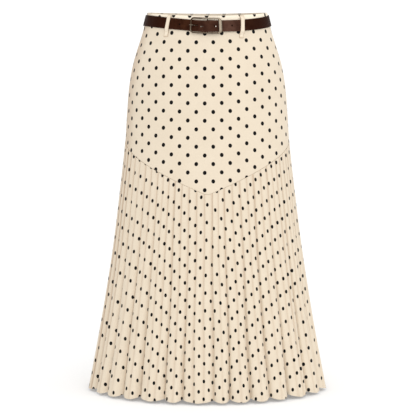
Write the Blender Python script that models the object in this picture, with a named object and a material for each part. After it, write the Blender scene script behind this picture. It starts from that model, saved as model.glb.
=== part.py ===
"""Pleated a-line skirt with a pointed yoke, four belt loops and its own leather belt.

The skirt keeps the hollow, filled-out form that it has when it is worn. Every piece of cloth
is a closed wall. A point of the cloth is given by an angle round the body (0 at the centre
front, growing towards +X) and by its drop, the height below the side of the top edge.
Metres, +Z up, front towards -Y. The origin is the middle of the waist, at belt height.
"""
import math

import bmesh
import bpy
import numpy as np

MM = 0.001

# ---- the filled-out skirt ----
TOP_HEIGHT = 0.020            # top edge at the sides, above the origin
TOP_DIP = 0.004               # how far the top edge sinks at the centre front
BACK_DIP = 0.004              # and at the centre back
HEM_DROP = 0.782
CLOTH = 1.2 * MM              # thickness of the cloth wall
SEAM_GAP = 0.3 * MM           # between two pieces that are sewn together
SECTIONS = (
    # drop, half_width, front_depth, back_depth
    (0.000, 0.1236, 0.089, 0.091),
    (0.024, 0.1296, 0.092, 0.096),
    (0.045, 0.1346, 0.095, 0.100),
    (0.070, 0.1428, 0.100, 0.107),
    (0.100, 0.1520, 0.106, 0.116),
    (0.150, 0.1615, 0.113, 0.129),
    (0.200, 0.1659, 0.118, 0.138),
    (0.270, 0.1706, 0.124, 0.143),
    (0.370, 0.1824, 0.133, 0.148),
    (0.470, 0.1956, 0.142, 0.154),
    (0.570, 0.2115, 0.154, 0.163),
    (0.670, 0.2293, 0.167, 0.175),
    (0.782, 0.2514, 0.183, 0.190),
)
HIP_DEPTH = 0.118             # half depth at the hips, which turns a seam's gap into an angle

# ---- yoke: a point at the centre front, level from the side seams round the back ----
SIDE_SEAM_DROP = 0.265
POINT_DEPTH = 0.098           # the point, below the side ends of the seam
POINT_CURVE = 1.25            # 1 would be a straight V
POINT_EASE = 0.04             # softens the curve where it reaches the side seam
POINT_ROUND_DEG = 1.5         # and rounds the point
YOKE_ROWS = (0.0, 0.06, 0.13, 0.20, 0.28, 0.37, 0.47, 0.59, 0.72, 0.86, 1.0)
YOKE_STEP_DEG = 4.5

# ---- pleats, gathered by twos and threes into the flutes that scallop the hem ----
FLUTES = (
    # ends_at_deg, pleats, depth_share: from the left side seam over the front to the right one
    (-70.0, 3, 1.00),
    (-58.0, 2, 0.80),
    (-45.7, 2, 0.95),
    (-34.4, 2, 1.10),
    (-21.2, 3, 0.90),
    (-11.7, 2, 1.00),
    (3.2, 3, 0.85),
    (10.9, 2, 0.75),
    (21.6, 2, 1.05),
    (31.7, 2, 0.90),
    (43.6, 2, 1.00),
    (58.6, 3, 1.10),
    (73.0, 3, 0.90),
    (90.0, 3, 1.00),
)
PLEAT_SHAPE = (
    # phase, height: one pleat from its inner fold over its crest
    (0.00, 0.00),
    (0.15, 0.62),
    (0.34, 1.00),
    (0.55, 0.93),
    (0.74, 0.55),
    (0.90, 0.16),
)
PLEAT_ROWS = (0.0, 0.08, 0.30, 0.62, 1.0)
PLEAT_PROUD = 0.6 * MM        # crests stand this much outside the yoke
PLEAT_DEPTH_SEAM = 2.2 * MM
PLEAT_DEPTH_HEM = 5.5 * MM
PLEAT_UNEVEN = 0.14           # share by which one pleat is deeper or shallower than another
PLEAT_BEAT = 2.4              # radians of that unevenness from one pleat to the next
FLUTE_DEPTH_HEM = 20.0 * MM
FLUTE_GROWTH = 1.7            # above 1, the flutes open mostly in the lower half
FLUTE_ROUNDNESS = 0.85        # below 1, their crests are flatter than a sine wave
HEM_LIFT = 4.0 * MM           # the hem is this much higher between two flutes

# ---- belt ----
BELT_HEIGHT = 0.023
BELT_THICK = 1.8 * MM
BELT_GAP = 0.5 * MM           # belt to cloth
LEATHER_GAP = 0.3 * MM        # layer to layer, and leather to metal
BELT_OUT = BELT_GAP + 0.5 * BELT_THICK
DOUBLED_OUT = BELT_OUT + BELT_THICK + LEATHER_GAP
BELT_DROP = 0.0161            # centre line below the top edge, at the sides and back
BELT_SAG = 0.0040             # more than that at the centre front
BELT_SLANT = 0.0018           # and the right front hangs lower than the left front
BELT_EDGE = 0.4 * MM          # chamfer of the grain side
BELT_STEP = 0.0085
TAIL_STEP = 0.004
TAIL_START = -0.051           # along from the centre front, where the tail begins to lift
TAIL_END_DEG = 34.6           # the tail's end hides under the right front loop
ZIP_BUMP = 0.016              # half length of the belt's rise over the zip's pull
HOLES = (
    # along, from and to how far out: one under the tail's start, three in the tail
    (-0.0565, -0.2 * MM, 6.0 * MM),
    (-0.0098, 4.6 * MM, 8.0 * MM),
    (0.0160, 2.95 * MM, 8.0 * MM),
    (0.0494, 2.45 * MM, 6.0 * MM),
)
HOLE_RADIUS = 1.6 * MM
HOLE_SIDES = 12
PRONG_SLOT = (-0.0270, -0.0185)
TAIL_DROOP = 1.4 * MM         # the tail hangs this much low where it crosses the frame
DROOP_PLACE = -0.006
DROOP_REACH = 0.024
PRONG_SLOT_HALF = 1.2 * MM
FOLD_SLOT_HALF = 1.7 * MM

# ---- buckle: places along the belt line from the centre front ----
BUCKLE_LEFT = -0.0328
BUCKLE_RIGHT = 0.0258
BUCKLE_HALF_HEIGHT = 0.0147
BUCKLE_CORNER = 0.006
BUCKLE_THIN = 1.45 * MM       # half width of the left, top and bottom bars
BUCKLE_WIDE = 3.3 * MM        # half width of the right bar
BUCKLE_HALF_THICK = 1.3 * MM
BUCKLE_OUT_LEFT = 4.1 * MM    # middle of the left bar, out from the cloth
BUCKLE_OUT_RIGHT = 6.4 * MM
BAR_PLACE = 0.0005            # the bar inside the frame that the strap is folded round
BAR_OUT = 3.1 * MM
BAR_RADIUS = 1.0 * MM
PRONG_RADIUS = 0.7 * MM
FOLD_THICK = 1.2 * MM         # the leather is thinned where it is folded
FOLD_LENGTH = 0.010
TAIL_ROUTE = (
    # along from the centre front, out: under the left bar, over the inner bar, under the right
    (-0.055, BELT_OUT),
    (-0.044, BELT_OUT),
    (-0.034, BELT_OUT + 0.1 * MM),
    (-0.030, 1.8 * MM),
    (-0.026, 2.75 * MM),
    (-0.018, 5.0 * MM),
    (-0.011, 6.05 * MM),
    (-0.006, 6.6 * MM),
    (BAR_PLACE, 7.1 * MM),
    (BAR_PLACE + 0.005, 6.9 * MM),
    (BAR_PLACE + 0.010, 5.95 * MM),
    (BAR_PLACE + 0.017, 3.95 * MM),
    (BAR_PLACE + 0.023, DOUBLED_OUT + 0.1 * MM),
    (0.048, DOUBLED_OUT),
)

# ---- belt loops ----
LOOP_WIDTH = 0.0088
LOOP_THICK = 1.0 * MM
LOOPS = (
    # name, angle_deg, lean, belt_layers, length
    ("loop_front_left", -38.8, 0.0013, 1, 0.046),
    ("loop_front_right", 34.7, -0.0064, 2, 0.050),
    ("loop_back_left", -130.0, 0.0, 1, 0.046),
    ("loop_back_right", 130.0, 0.0, 1, 0.046),
)

# ---- concealed zip at the centre back ----
ZIP_LENGTH = 0.200
ZIP_TAPE_WIDTH = 0.024
ZIP_TAPE_THICK = 0.8 * MM
ZIP_TOP = 0.004
NECK_TOP = 0.009              # the slider's neck comes out between the back edges here
NECK_HEIGHT = 0.005
NECK_HALF_WIDTH = 0.8 * MM
NECK_EASE = 2.0 * MM          # the back edges close again this far above and below the neck
TAPE_GAP = 0.57 * MM          # tape to cloth
SLIDER_SIZE = (0.0075, 0.010, 0.0026)
PULL_LENGTH = 0.024
PULL_THICK = 0.9 * MM
PULL_EYE = 0.0055             # middle of its eye, below its top end
PULL_TOP_HALF = 3.0 * MM
PULL_LOW_HALF = 3.6 * MM
PULL_SIDES = 16

TUBE_SIDES = 8
CREAM = (0.86, 0.76, 0.62)
LEATHER = (0.075, 0.030, 0.018)
BRONZE = (0.30, 0.24, 0.19)
NYLON = (0.80, 0.72, 0.60)


# ---------------------------------------------------------------- scene and meshes

def clear_scene():
    """Removes whatever objects the open scene holds."""
    for thing in list(bpy.data.objects):
        bpy.data.objects.remove(thing, do_unlink=True)


def finish_material(name, colour, roughness, metallic):
    """A plain Principled material in the piece's own colour."""
    finish = bpy.data.materials.new(name)
    finish.use_nodes = True
    shader = finish.node_tree.nodes["Principled BSDF"]
    shader.inputs["Base Color"].default_value = (*colour, 1.0)
    shader.inputs["Roughness"].default_value = roughness
    shader.inputs["Metallic"].default_value = metallic
    return finish


def add_solid(name, points, faces, colour, roughness=0.85, metallic=0.0, smooth_deg=40.0):
    """One closed object from its corner points and faces, with all faces turned outwards."""
    mesh = bpy.data.meshes.new(name)
    mesh.from_pydata([tuple(p) for p in points], [], [tuple(f) for f in faces])
    work = bmesh.new()
    work.from_mesh(mesh)
    bmesh.ops.recalc_face_normals(work, faces=work.faces)
    work.to_mesh(mesh)
    work.free()
    mesh.shade_smooth()
    mesh.set_sharp_from_angle(angle=math.radians(smooth_deg))
    solid = bpy.data.objects.new(name, mesh)
    solid.data.materials.append(finish_material(name, colour, roughness, metallic))
    bpy.context.scene.collection.objects.link(solid)
    return solid


def wall_faces(rows, columns):
    """Faces of a closed wall: an outer and an inner grid, joined along their four edges."""
    def outer(row, column):
        return row * columns + column

    def inner(row, column):
        return rows * columns + row * columns + column

    faces = []
    for r in range(rows - 1):
        for c in range(columns - 1):
            faces.append((outer(r, c), outer(r + 1, c), outer(r + 1, c + 1), outer(r, c + 1)))
            faces.append((inner(r, c), inner(r, c + 1), inner(r + 1, c + 1), inner(r + 1, c)))
    for c in range(columns - 1):
        for r in (0, rows - 1):
            faces.append((outer(r, c), outer(r, c + 1), inner(r, c + 1), inner(r, c)))
    for r in range(rows - 1):
        for c in (0, columns - 1):
            faces.append((outer(r, c), outer(r + 1, c), inner(r + 1, c), inner(r, c)))
    return faces


def add_wall(name, outer, inner, colour, **finish):
    """A closed wall between two grids of points, each of shape (rows, columns, 3)."""
    rows, columns = outer.shape[:2]
    points = np.concatenate([outer.reshape(-1, 3), inner.reshape(-1, 3)])
    return add_solid(name, points, wall_faces(rows, columns), colour, **finish)


def add_tube(name, rings, closed, colour, **finish):
    """A tube through rings of points, of shape (rings, sides, 3), looped or with flat ends."""
    count, sides = rings.shape[:2]
    faces = []
    for i in range(count if closed else count - 1):
        j = (i + 1) % count
        for k in range(sides):
            m = (k + 1) % sides
            faces.append((i * sides + k, i * sides + m, j * sides + m, j * sides + k))
    if not closed:
        faces.append(tuple(range(sides)))
        faces.append(tuple(range((count - 1) * sides, count * sides)))
    return add_solid(name, rings.reshape(-1, 3), faces, colour, **finish)


# ---------------------------------------------------------------- the cloth's surface

def read_section(drop):
    """Half width, front depth and back depth at a drop, on a smooth curve through SECTIONS."""
    table = np.array(SECTIONS)
    knots = table[:, 0]
    drop = np.clip(drop, knots[0], knots[-1])
    low = np.clip(np.searchsorted(knots, drop, side="right") - 1, 0, len(knots) - 2)
    span = knots[low + 1] - knots[low]
    t = (drop - knots[low]) / span
    sizes = []
    for column in range(1, table.shape[1]):
        values = table[:, column]
        slopes = np.gradient(values, knots)
        sizes.append(
            values[low] * (2 * t**3 - 3 * t**2 + 1)
            + slopes[low] * span * (t**3 - 2 * t**2 + t)
            + values[low + 1] * (3 * t**2 - 2 * t**3)
            + slopes[low + 1] * span * (t**3 - t**2)
        )
    return sizes


def cloth_point(angle, drop):
    """Point of the cloth's outer side: half an ellipse in front, another behind."""
    half_width, front, back = read_section(drop)
    depth = np.where(np.cos(angle) > 0.0, front, back)
    x = half_width * np.sin(angle)
    y = -depth * np.cos(angle)
    return np.stack([x, y, TOP_HEIGHT - drop + 0.0 * angle], axis=-1)


def unit(vector):
    return vector / np.linalg.norm(vector, axis=-1, keepdims=True)


def cloth_up(angle, drop):
    """Unit vector up the cloth."""
    step = 1.0 * MM
    return unit(cloth_point(angle, np.maximum(drop - step, 0.0)) - cloth_point(angle, drop + step))


def cloth_out(angle, drop):
    """Unit vector out of the cloth."""
    step = 0.002
    along = cloth_point(angle + step, drop) - cloth_point(angle - step, drop)
    return unit(np.cross(along, cloth_up(angle, drop)))


def top_drop(angle):
    """Drop of the top edge, which dips a little over the front and over the back."""
    front = np.clip(np.cos(angle), 0.0, None)
    back = np.clip(-np.cos(angle), 0.0, None)
    return TOP_DIP * front**2 + BACK_DIP * back**2


def cloth_level_out(angle, drop):
    """Unit vector out of the cloth, kept level."""
    return unit(cloth_out(angle, drop) * np.array((1.0, 1.0, 0.0)))


def seam_drop(angle):
    """Drop of the yoke's seam: a curved V over the front, level round the back."""
    rounding = math.radians(POINT_ROUND_DEG)
    from_front = np.sqrt(angle**2 + rounding**2) - rounding
    to_side = np.clip(1.0 - from_front / math.radians(90.0), 0.0, 1.0)

    def eased(share):
        return (share**2 + POINT_EASE**2) ** (POINT_CURVE / 2) - POINT_EASE**POINT_CURVE

    return SIDE_SEAM_DROP + POINT_DEPTH * eased(to_side) / eased(1.0)


# ---------------------------------------------------------------- yoke

SEAM_ANGLE = 0.5 * SEAM_GAP / HIP_DEPTH


def notched_rows():
    """Rows of the back yoke, with four more round the neck of the zip's slider, and which of
    them lie beside the neck."""
    share = np.array(YOKE_ROWS)
    low = NECK_TOP + NECK_HEIGHT
    notch = np.array((NECK_TOP - NECK_EASE, NECK_TOP - SEAM_GAP, low + SEAM_GAP, low + NECK_EASE))
    notch = notch / SIDE_SEAM_DROP
    rest = share[(share < notch[0]) | (share > notch[-1])]
    share = np.sort(np.concatenate([rest, notch]))
    return share, (share > notch[0]) & (share < notch[-1])


def build_yoke(name, first_deg, last_deg, notch_side=0):
    """A smooth panel of the yoke. notch_side is 1 or -1 where its last or first edge, at the
    centre back, parts round the neck of the zip's slider."""
    first = math.radians(first_deg) + SEAM_ANGLE
    last = math.radians(last_deg) - SEAM_ANGLE
    columns = max(2, round((last_deg - first_deg) / YOKE_STEP_DEG)) + 1
    share = np.array(YOKE_ROWS)
    opening = np.zeros(len(share))
    if notch_side:
        share, inside = notched_rows()
        opening = np.where(inside, (NECK_HALF_WIDTH + 0.5 * SEAM_GAP) / SECTIONS[0][1], 0.0)
    across = np.linspace(0.0, 1.0, columns)[None, :]
    start = first + (notch_side < 0) * opening
    end = last - (notch_side > 0) * opening
    angle = start[:, None] * (1.0 - across) + end[:, None] * across
    top = top_drop(angle)
    low = seam_drop(angle) - 0.5 * SEAM_GAP
    drop = top + share[:, None] * (low - top)
    outer = cloth_point(angle, drop)
    inner = outer - CLOTH * cloth_level_out(angle, drop)
    return add_wall(name, outer, inner, CREAM)


# ---------------------------------------------------------------- pleats

def pleat_columns(turn_deg):
    """Angle, pleat height, pleat depth share, flute height and flute depth share of each column
    of one pleated panel, from its first side seam to its last. turn_deg turns the panel round
    the body: 0 is the front and 180 the back."""
    columns = []
    begin = -90.0
    pleat = 0
    for flute_end, pleats, depth_share in FLUTES:
        width = (flute_end - begin) / pleats
        for k in range(pleats):
            beat = PLEAT_BEAT * pleat + math.radians(turn_deg)
            uneven = 1.0 + PLEAT_UNEVEN * math.sin(beat)
            for phase, height in PLEAT_SHAPE:
                through = (k + phase) / pleats
                bulge = math.sin(math.pi * through) ** FLUTE_ROUNDNESS
                angle = begin + (k + phase) * width
                columns.append((angle, height, uneven, bulge, depth_share))
            pleat += 1
        begin = flute_end
    columns.append((begin, 0.0, 1.0, 0.0, 1.0))
    table = np.array(columns).T
    table[0] = np.radians(table[0] + turn_deg)
    return table


def inner_side(outer, end_out):
    """The wall's inner grid: each ring moved in, square to its own zigzag in plan. The two ends
    move straight in along end_out, so that they stay on the side seams."""
    step = np.diff(outer[..., :2], axis=1)
    step = step / np.linalg.norm(step, axis=-1, keepdims=True)
    side = np.stack([step[..., 1], -step[..., 0]], axis=-1)
    before, after = side[:, :-1], side[:, 1:]
    middle = before + after
    middle = 2.0 * middle / np.sum(middle * middle, axis=-1, keepdims=True)
    inner = outer.copy()
    inner[:, 1:-1, :2] -= CLOTH * middle
    for column in (0, -1):
        inner[:, column] -= CLOTH * end_out[:, column]
    return inner


def build_pleats(name, turn_deg):
    """A pleated panel: the skirt's surface pushed in between the crests of its pleats, and
    deeper between its flutes, growing from the yoke's seam to the hem."""
    angle, height, uneven, bulge, depth_share = pleat_columns(turn_deg)
    angle[0] += SEAM_ANGLE
    angle[-1] -= SEAM_ANGLE
    share = np.array(PLEAT_ROWS)[:, None]
    turned = (angle + math.pi) % (2.0 * math.pi) - math.pi
    top = seam_drop(turned)[None, :] + 0.5 * SEAM_GAP
    low = HEM_DROP - HEM_LIFT * depth_share * (1.0 - bulge)
    drop = top + share * (low - top)
    turned = turned[None, :] + 0.0 * drop
    out = cloth_level_out(turned, drop)
    pleat_depth = PLEAT_DEPTH_SEAM + share * (PLEAT_DEPTH_HEM - PLEAT_DEPTH_SEAM)
    flute_depth = FLUTE_DEPTH_HEM * share**FLUTE_GROWTH
    push = PLEAT_PROUD - pleat_depth * uneven * (1.0 - height)
    push = push - flute_depth * depth_share * (1.0 - bulge)
    outer = cloth_point(turned, drop)
    outer += out * push[..., None]
    return add_wall(name, outer, inner_side(outer, out), CREAM, smooth_deg=60.0)


# ---------------------------------------------------------------- places along the belt

def belt_drop(angle):
    """Drop of the belt's centre line: level behind, sagging and slanting a little in front."""
    front = np.clip(np.cos(angle), 0.0, None)
    slant = 2.0 * BELT_SLANT * np.sin(angle) * front
    return top_drop(angle) + BELT_DROP + BELT_SAG * front**2 + slant


def belt_measure():
    """Angles round the waist and how far each lies along the belt line from the front."""
    angles = np.radians(np.linspace(-180.0, 180.0, 1441))
    line = cloth_point(angles, belt_drop(angles))
    steps = np.linalg.norm(np.diff(line, axis=0), axis=1)
    along = np.concatenate([[0.0], np.cumsum(steps)])
    return angles, along - np.interp(0.0, angles, along)


BELT_ANGLES, BELT_ALONG = belt_measure()
BELT_ROUND = BELT_ALONG[-1] - BELT_ALONG[0]


def along_at(angle_deg):
    """Distance along the belt line of an angle, which may pass 360 degrees."""
    turns = math.floor((angle_deg + 180.0) / 360.0)
    angle = math.radians(angle_deg - 360.0 * turns)
    return float(np.interp(angle, BELT_ANGLES, BELT_ALONG)) + turns * BELT_ROUND


def belt_place(along, out, up):
    """Point that lies along the belt line, out from the cloth and up across the belt."""
    along = (along - BELT_ALONG[0]) % BELT_ROUND + BELT_ALONG[0]
    angle = np.interp(along, BELT_ALONG, BELT_ANGLES)
    drop = belt_drop(angle)
    point = cloth_point(angle, drop)
    outward = cloth_out(angle, drop)
    upward = cloth_up(angle, drop)
    return point + outward * np.asarray(out)[..., None] + upward * np.asarray(up)[..., None]


# ---------------------------------------------------------------- belt

def strap_route():
    """The strap's middle: along, out and thickness. It starts behind the buckle's bar, folds
    round it, runs once round the waist over the zip's pull, and comes back on top of itself
    as the tail, under the frame's left bar, over its inner bar and under its right bar."""
    bend = BAR_RADIUS + LEATHER_GAP + 0.5 * FOLD_THICK
    turn = np.radians(np.linspace(-90.0, -270.0, 7))
    fold = [(BAR_PLACE + FOLD_LENGTH, BAR_OUT - bend, FOLD_THICK)]
    fold += [(BAR_PLACE + bend * math.cos(a), BAR_OUT + bend * math.sin(a), FOLD_THICK)
             for a in turn]
    over_flap = BAR_OUT - bend + 0.5 * FOLD_THICK + LEATHER_GAP + 0.5 * BELT_THICK
    body = [
        (BAR_PLACE + 0.005, BAR_OUT + 0.85 * bend, 0.8 * BELT_THICK),
        (BAR_PLACE + FOLD_LENGTH, over_flap + 0.5 * MM, BELT_THICK),
        (BAR_PLACE + FOLD_LENGTH + 0.007, BELT_OUT, BELT_THICK),
    ]
    zip_lift = SEAM_GAP + PULL_THICK + 2.0 * LEATHER_GAP
    rest_from = body[-1][0] + 0.005
    rest_to = BELT_ROUND + TAIL_START - TAIL_STEP
    stops = np.linspace(rest_from, rest_to, round((rest_to - rest_from) / BELT_STEP))
    lift = np.exp(-(((stops - 0.5 * BELT_ROUND) / ZIP_BUMP) ** 2)) * zip_lift
    round_waist = [(s, BELT_OUT + rise, BELT_THICK) for s, rise in zip(stops, lift)]
    tail_end = along_at(TAIL_END_DEG)
    tail_stops = np.append(np.arange(TAIL_START, tail_end, TAIL_STEP), tail_end)
    knots = np.array(TAIL_ROUTE)
    tail_out = np.interp(tail_stops, knots[:, 0], knots[:, 1])
    tail = [(BELT_ROUND + s, o, BELT_THICK) for s, o in zip(tail_stops, tail_out)]
    return np.array(fold + body + round_waist + tail)


def tail_droop(place):
    """How low the tail hangs inside the frame: a bell along the belt line."""
    return TAIL_DROOP * np.exp(-(((place - DROOP_PLACE) / DROOP_REACH) ** 2))


def build_belt():
    """The strap: a flat section with a chamfered grain side, carried along strap_route, with
    its round holes, the prong's slot in the tail and the slot in the fold cut through."""
    along, out, thick = strap_route().T
    step = np.gradient(np.stack([along, out], axis=1), axis=0)
    step = unit(step)
    side = np.stack([-step[:, 1], step[:, 0]], axis=1)
    half = 0.5 * BELT_HEIGHT
    shoulder = 1.0 - 2.0 * BELT_EDGE / BELT_THICK
    corners = (
        # share of half the thickness, up
        (-1.0, -half),
        (-1.0, half),
        (shoulder, half),
        (1.0, half - BELT_EDGE),
        (1.0, BELT_EDGE - half),
        (shoulder, -half),
    )
    rings = []
    for share, up in corners:
        shift = 0.5 * thick * share
        rings.append(belt_place(along + side[:, 0] * shift, out + side[:, 1] * shift,
                                up - tail_droop(along - BELT_ROUND)))
    strap = add_tube("belt_strap", np.stack(rings, axis=1), False, LEATHER, roughness=0.45)
    cutters = [hole_cutter(*hole) for hole in HOLES]
    cutters.append(box_cutter("tail_slot", *PRONG_SLOT, 1.0 * MM, 7.0 * MM, PRONG_SLOT_HALF))
    cutters.append(box_cutter("fold_slot", BAR_PLACE - 0.004, BAR_PLACE + 0.006,
                              0.1 * MM, 5.85 * MM, FOLD_SLOT_HALF))
    for cutter in cutters:
        cut = strap.modifiers.new("cut_" + cutter.name, "BOOLEAN")
        cut.operation = "DIFFERENCE"
        cut.solver = "EXACT"
        cut.object = cutter
    return strap


def as_cutter(shape):
    shape.hide_render = True
    shape.display_type = "WIRE"
    return shape


def hole_cutter(place, out_from, out_to):
    """A round punch square to the belt."""
    turn = np.linspace(0.0, 2.0 * math.pi, HOLE_SIDES + 1)[:-1]
    along = place + HOLE_RADIUS * np.cos(turn)
    up = HOLE_RADIUS * np.sin(turn) - tail_droop(place)
    rings = [belt_place(along, np.full(HOLE_SIDES, level), up) for level in (out_from, out_to)]
    return as_cutter(add_tube(f"punch_{place:.3f}", np.stack(rings), False, LEATHER))


def box_cutter(name, along_from, along_to, out_from, out_to, half_height):
    """A straight-sided punch for a slot."""
    along = np.array((along_from, along_to, along_to, along_from))
    up = np.array((-half_height, -half_height, half_height, half_height))
    rings = [belt_place(along, np.full(4, level), up) for level in (out_from, out_to)]
    return as_cutter(add_tube(name, np.stack(rings), False, LEATHER))


# ---------------------------------------------------------------- buckle

def buckle_out(along):
    """How far the frame's middle stands out from the cloth: more at its right end."""
    share = (along - BUCKLE_LEFT) / (BUCKLE_RIGHT - BUCKLE_LEFT)
    return BUCKLE_OUT_LEFT + share * (BUCKLE_OUT_RIGHT - BUCKLE_OUT_LEFT)


def rounded_rectangle(left, right, half_height, corner, corner_steps, side_steps):
    """Closed outline, as rows of (along, up), turning against the clock from the right side."""
    outline = []
    centres = (
        # along, up, start of the quarter turn in degrees
        (right - corner, half_height - corner, 0.0),
        (left + corner, half_height - corner, 90.0),
        (left + corner, corner - half_height, 180.0),
        (right - corner, corner - half_height, 270.0),
    )
    for index, (along, up, start) in enumerate(centres):
        turn = np.radians(start + np.linspace(0.0, 90.0, corner_steps + 1))
        arc = np.stack([along + corner * np.cos(turn), up + corner * np.sin(turn)], axis=1)
        next_along, next_up, next_start = centres[(index + 1) % 4]
        goal = np.array((next_along + corner * math.cos(math.radians(next_start)),
                         next_up + corner * math.sin(math.radians(next_start))))
        share = np.linspace(0.0, 1.0, side_steps + 1)[1:-1, None]
        outline += [arc, arc[-1] + share * (goal - arc[-1])]
    return np.concatenate(outline)


def build_buckle():
    """The frame, with its wide right bar, and the inner bar that the strap is folded round."""
    outline = rounded_rectangle(BUCKLE_LEFT, BUCKLE_RIGHT, BUCKLE_HALF_HEIGHT,
                                BUCKLE_CORNER, 4, 4)
    ahead = unit(np.roll(outline, -1, axis=0) - np.roll(outline, 1, axis=0))
    side = np.stack([ahead[:, 1], -ahead[:, 0]], axis=1)
    near_right = np.clip((outline[:, 0] - BUCKLE_RIGHT) / BUCKLE_CORNER + 1.0, 0.0, 1.0)
    half_width = BUCKLE_THIN + (BUCKLE_WIDE - BUCKLE_THIN) * near_right**2
    rings = []
    for turn in np.linspace(0.0, 2.0 * math.pi, TUBE_SIDES + 1)[:-1]:
        across = outline + side * (half_width * math.cos(turn))[:, None]
        out = buckle_out(outline[:, 0]) + BUCKLE_HALF_THICK * math.sin(turn)
        rings.append(belt_place(across[:, 0], out, across[:, 1]))
    frame = add_tube("buckle_frame", np.stack(rings, axis=1), True, BRONZE,
                     roughness=0.35, metallic=1.0, smooth_deg=60.0)
    route = np.array([
        # up, out: forward to the frame at both ends
        (BUCKLE_HALF_HEIGHT, buckle_out(BAR_PLACE)),
        (0.0144, 4.6 * MM),
        (0.0136, 3.5 * MM),
        (0.0127, BAR_OUT),
    ])
    route = np.concatenate([route, (route * (-1.0, 1.0))[::-1]])
    bar = as_cutter(tube_in_plane("inner_bar", np.full(len(route), BAR_PLACE), route[:, 1],
                                  route[:, 0], BAR_RADIUS))
    join = frame.modifiers.new("inner_bar", "BOOLEAN")
    join.operation = "UNION"
    join.solver = "EXACT"
    join.object = bar
    return frame


def tube_in_plane(name, along, out, up, radius, taper=None):
    """A round wire along a route in the belt's coordinates."""
    route = np.stack([along, out, up], axis=1)
    ahead = unit(np.gradient(route, axis=0))
    fixed = np.array((1.0, 0.0, 0.0)) if np.ptp(along) < MM else np.array((0.0, 0.0, 1.0))
    first = unit(np.cross(ahead, fixed))
    second = np.cross(ahead, first)
    radii = radius * (np.ones(len(route)) if taper is None else taper)
    turn = np.linspace(0.0, 2.0 * math.pi, TUBE_SIDES + 1)[:-1]
    ring = (first[:, None] * np.cos(turn)[None, :, None]
            + second[:, None] * np.sin(turn)[None, :, None]) * radii[:, None, None]
    place = route[:, None] + ring
    points = belt_place(place[..., 0], place[..., 1], place[..., 2])
    return add_tube(name, points, False, BRONZE, roughness=0.35, metallic=1.0, smooth_deg=60.0)


def build_prong():
    """A bent wire: hooked round the inner bar, along behind the tail, up through its slot close
    to the frame's left bar, and over to rest on that bar."""
    hook = BAR_RADIUS + LEATHER_GAP + PRONG_RADIUS
    turn = np.radians(np.linspace(-150.0, 90.0, 9))
    route = [(BAR_PLACE + hook * math.cos(a), BAR_OUT + hook * math.sin(a)) for a in turn]
    rest = BUCKLE_OUT_LEFT + BUCKLE_HALF_THICK + LEATHER_GAP + PRONG_RADIUS
    route += [
        (-0.0030, 4.8 * MM),
        (-0.0080, 4.1 * MM),
        (-0.0130, 3.4 * MM),
        (-0.0175, 2.85 * MM),
        (-0.0205, 2.8 * MM),
        (-0.0235, 3.6 * MM),
        (-0.0262, 5.0 * MM),
        (-0.0292, 6.2 * MM),
        (BUCKLE_LEFT, rest + 0.1 * MM),
        (BUCKLE_LEFT - 0.0028, rest - 0.1 * MM),
    ]
    route = np.array(route)
    taper = np.ones(len(route))
    taper[-1] = 0.8
    return tube_in_plane("buckle_prong", route[:, 0], route[:, 1], np.zeros(len(route)),
                         PRONG_RADIUS, taper)


# ---------------------------------------------------------------- loops and zip

def build_loop(name, angle_deg, lean, layers, length):
    """A cloth strip from the top edge out over the belt and back to the cloth below it."""
    angle = math.radians(angle_deg)
    flat = SEAM_GAP + 0.5 * LOOP_THICK
    over = BELT_GAP + layers * BELT_THICK + (layers - 1) * LEATHER_GAP
    over += LEATHER_GAP + 0.5 * LOOP_THICK
    edge = top_drop(angle)
    belt_top = belt_drop(angle) - 0.5 * BELT_HEIGHT
    belt_low = belt_top + BELT_HEIGHT
    route = np.array([
        # drop, out
        (edge + 0.4 * MM, flat),
        (edge + 1.2 * MM, flat + 0.1 * MM),
        (belt_top - 2.0 * MM, 0.75 * over + 0.25 * flat),
        (belt_top - 0.9 * MM, over),
        (belt_top + 4.0 * MM, over + 0.3 * MM),
        (0.5 * (belt_top + belt_low), over + 0.4 * MM),
        (belt_low - 4.0 * MM, over + 0.3 * MM),
        (belt_low + 1.0 * MM, over),
        (belt_low + 3.5 * MM, 0.6 * over + 0.4 * flat),
        (belt_low + 6.5 * MM, flat + 0.1 * MM),
        (edge + 0.84 * length, flat),
        (edge + length, flat),
    ])
    ahead = unit(np.gradient(route, axis=0))
    side = np.stack([-ahead[:, 1], ahead[:, 0]], axis=1)
    share = np.linspace(-0.5, 0.5, 3)
    reach = np.linalg.norm(cloth_point(angle + 0.01, belt_top) - cloth_point(angle, belt_top))
    per_metre = 0.01 / reach
    shift = lean * (route[:, 0] - route[0, 0]) / length
    angles = angle + (share[None, :] * LOOP_WIDTH + shift[:, None]) * per_metre
    grids = []
    for sign in (1.0, -1.0):
        moved = route + side * (0.5 * sign * LOOP_THICK)
        drop = moved[:, 0][:, None] + 0.0 * angles
        base = np.maximum(drop, 0.0)
        point = cloth_point(angles, base) + (base - drop)[..., None] * np.array((0.0, 0.0, 1.0))
        grids.append(point + cloth_out(angles, base) * moved[:, 1][:, None, None])
    return add_wall(name, grids[0], grids[1], CREAM)


def back_place(across, drop, out):
    """Point near the centre back: across from the middle towards -X, and out from the cloth."""
    across, drop, out = np.broadcast_arrays(across, drop, out)
    half_width = read_section(drop)[0]
    angle = math.pi + np.arcsin(across / half_width)
    return cloth_point(angle, drop) + cloth_out(angle, drop) * out[..., None]


def back_drop(down):
    """Drop of a place on the centre back edges, this far down on the scale of notched_rows."""
    return BACK_DIP + down * (1.0 - BACK_DIP / SIDE_SEAM_DROP)


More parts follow.
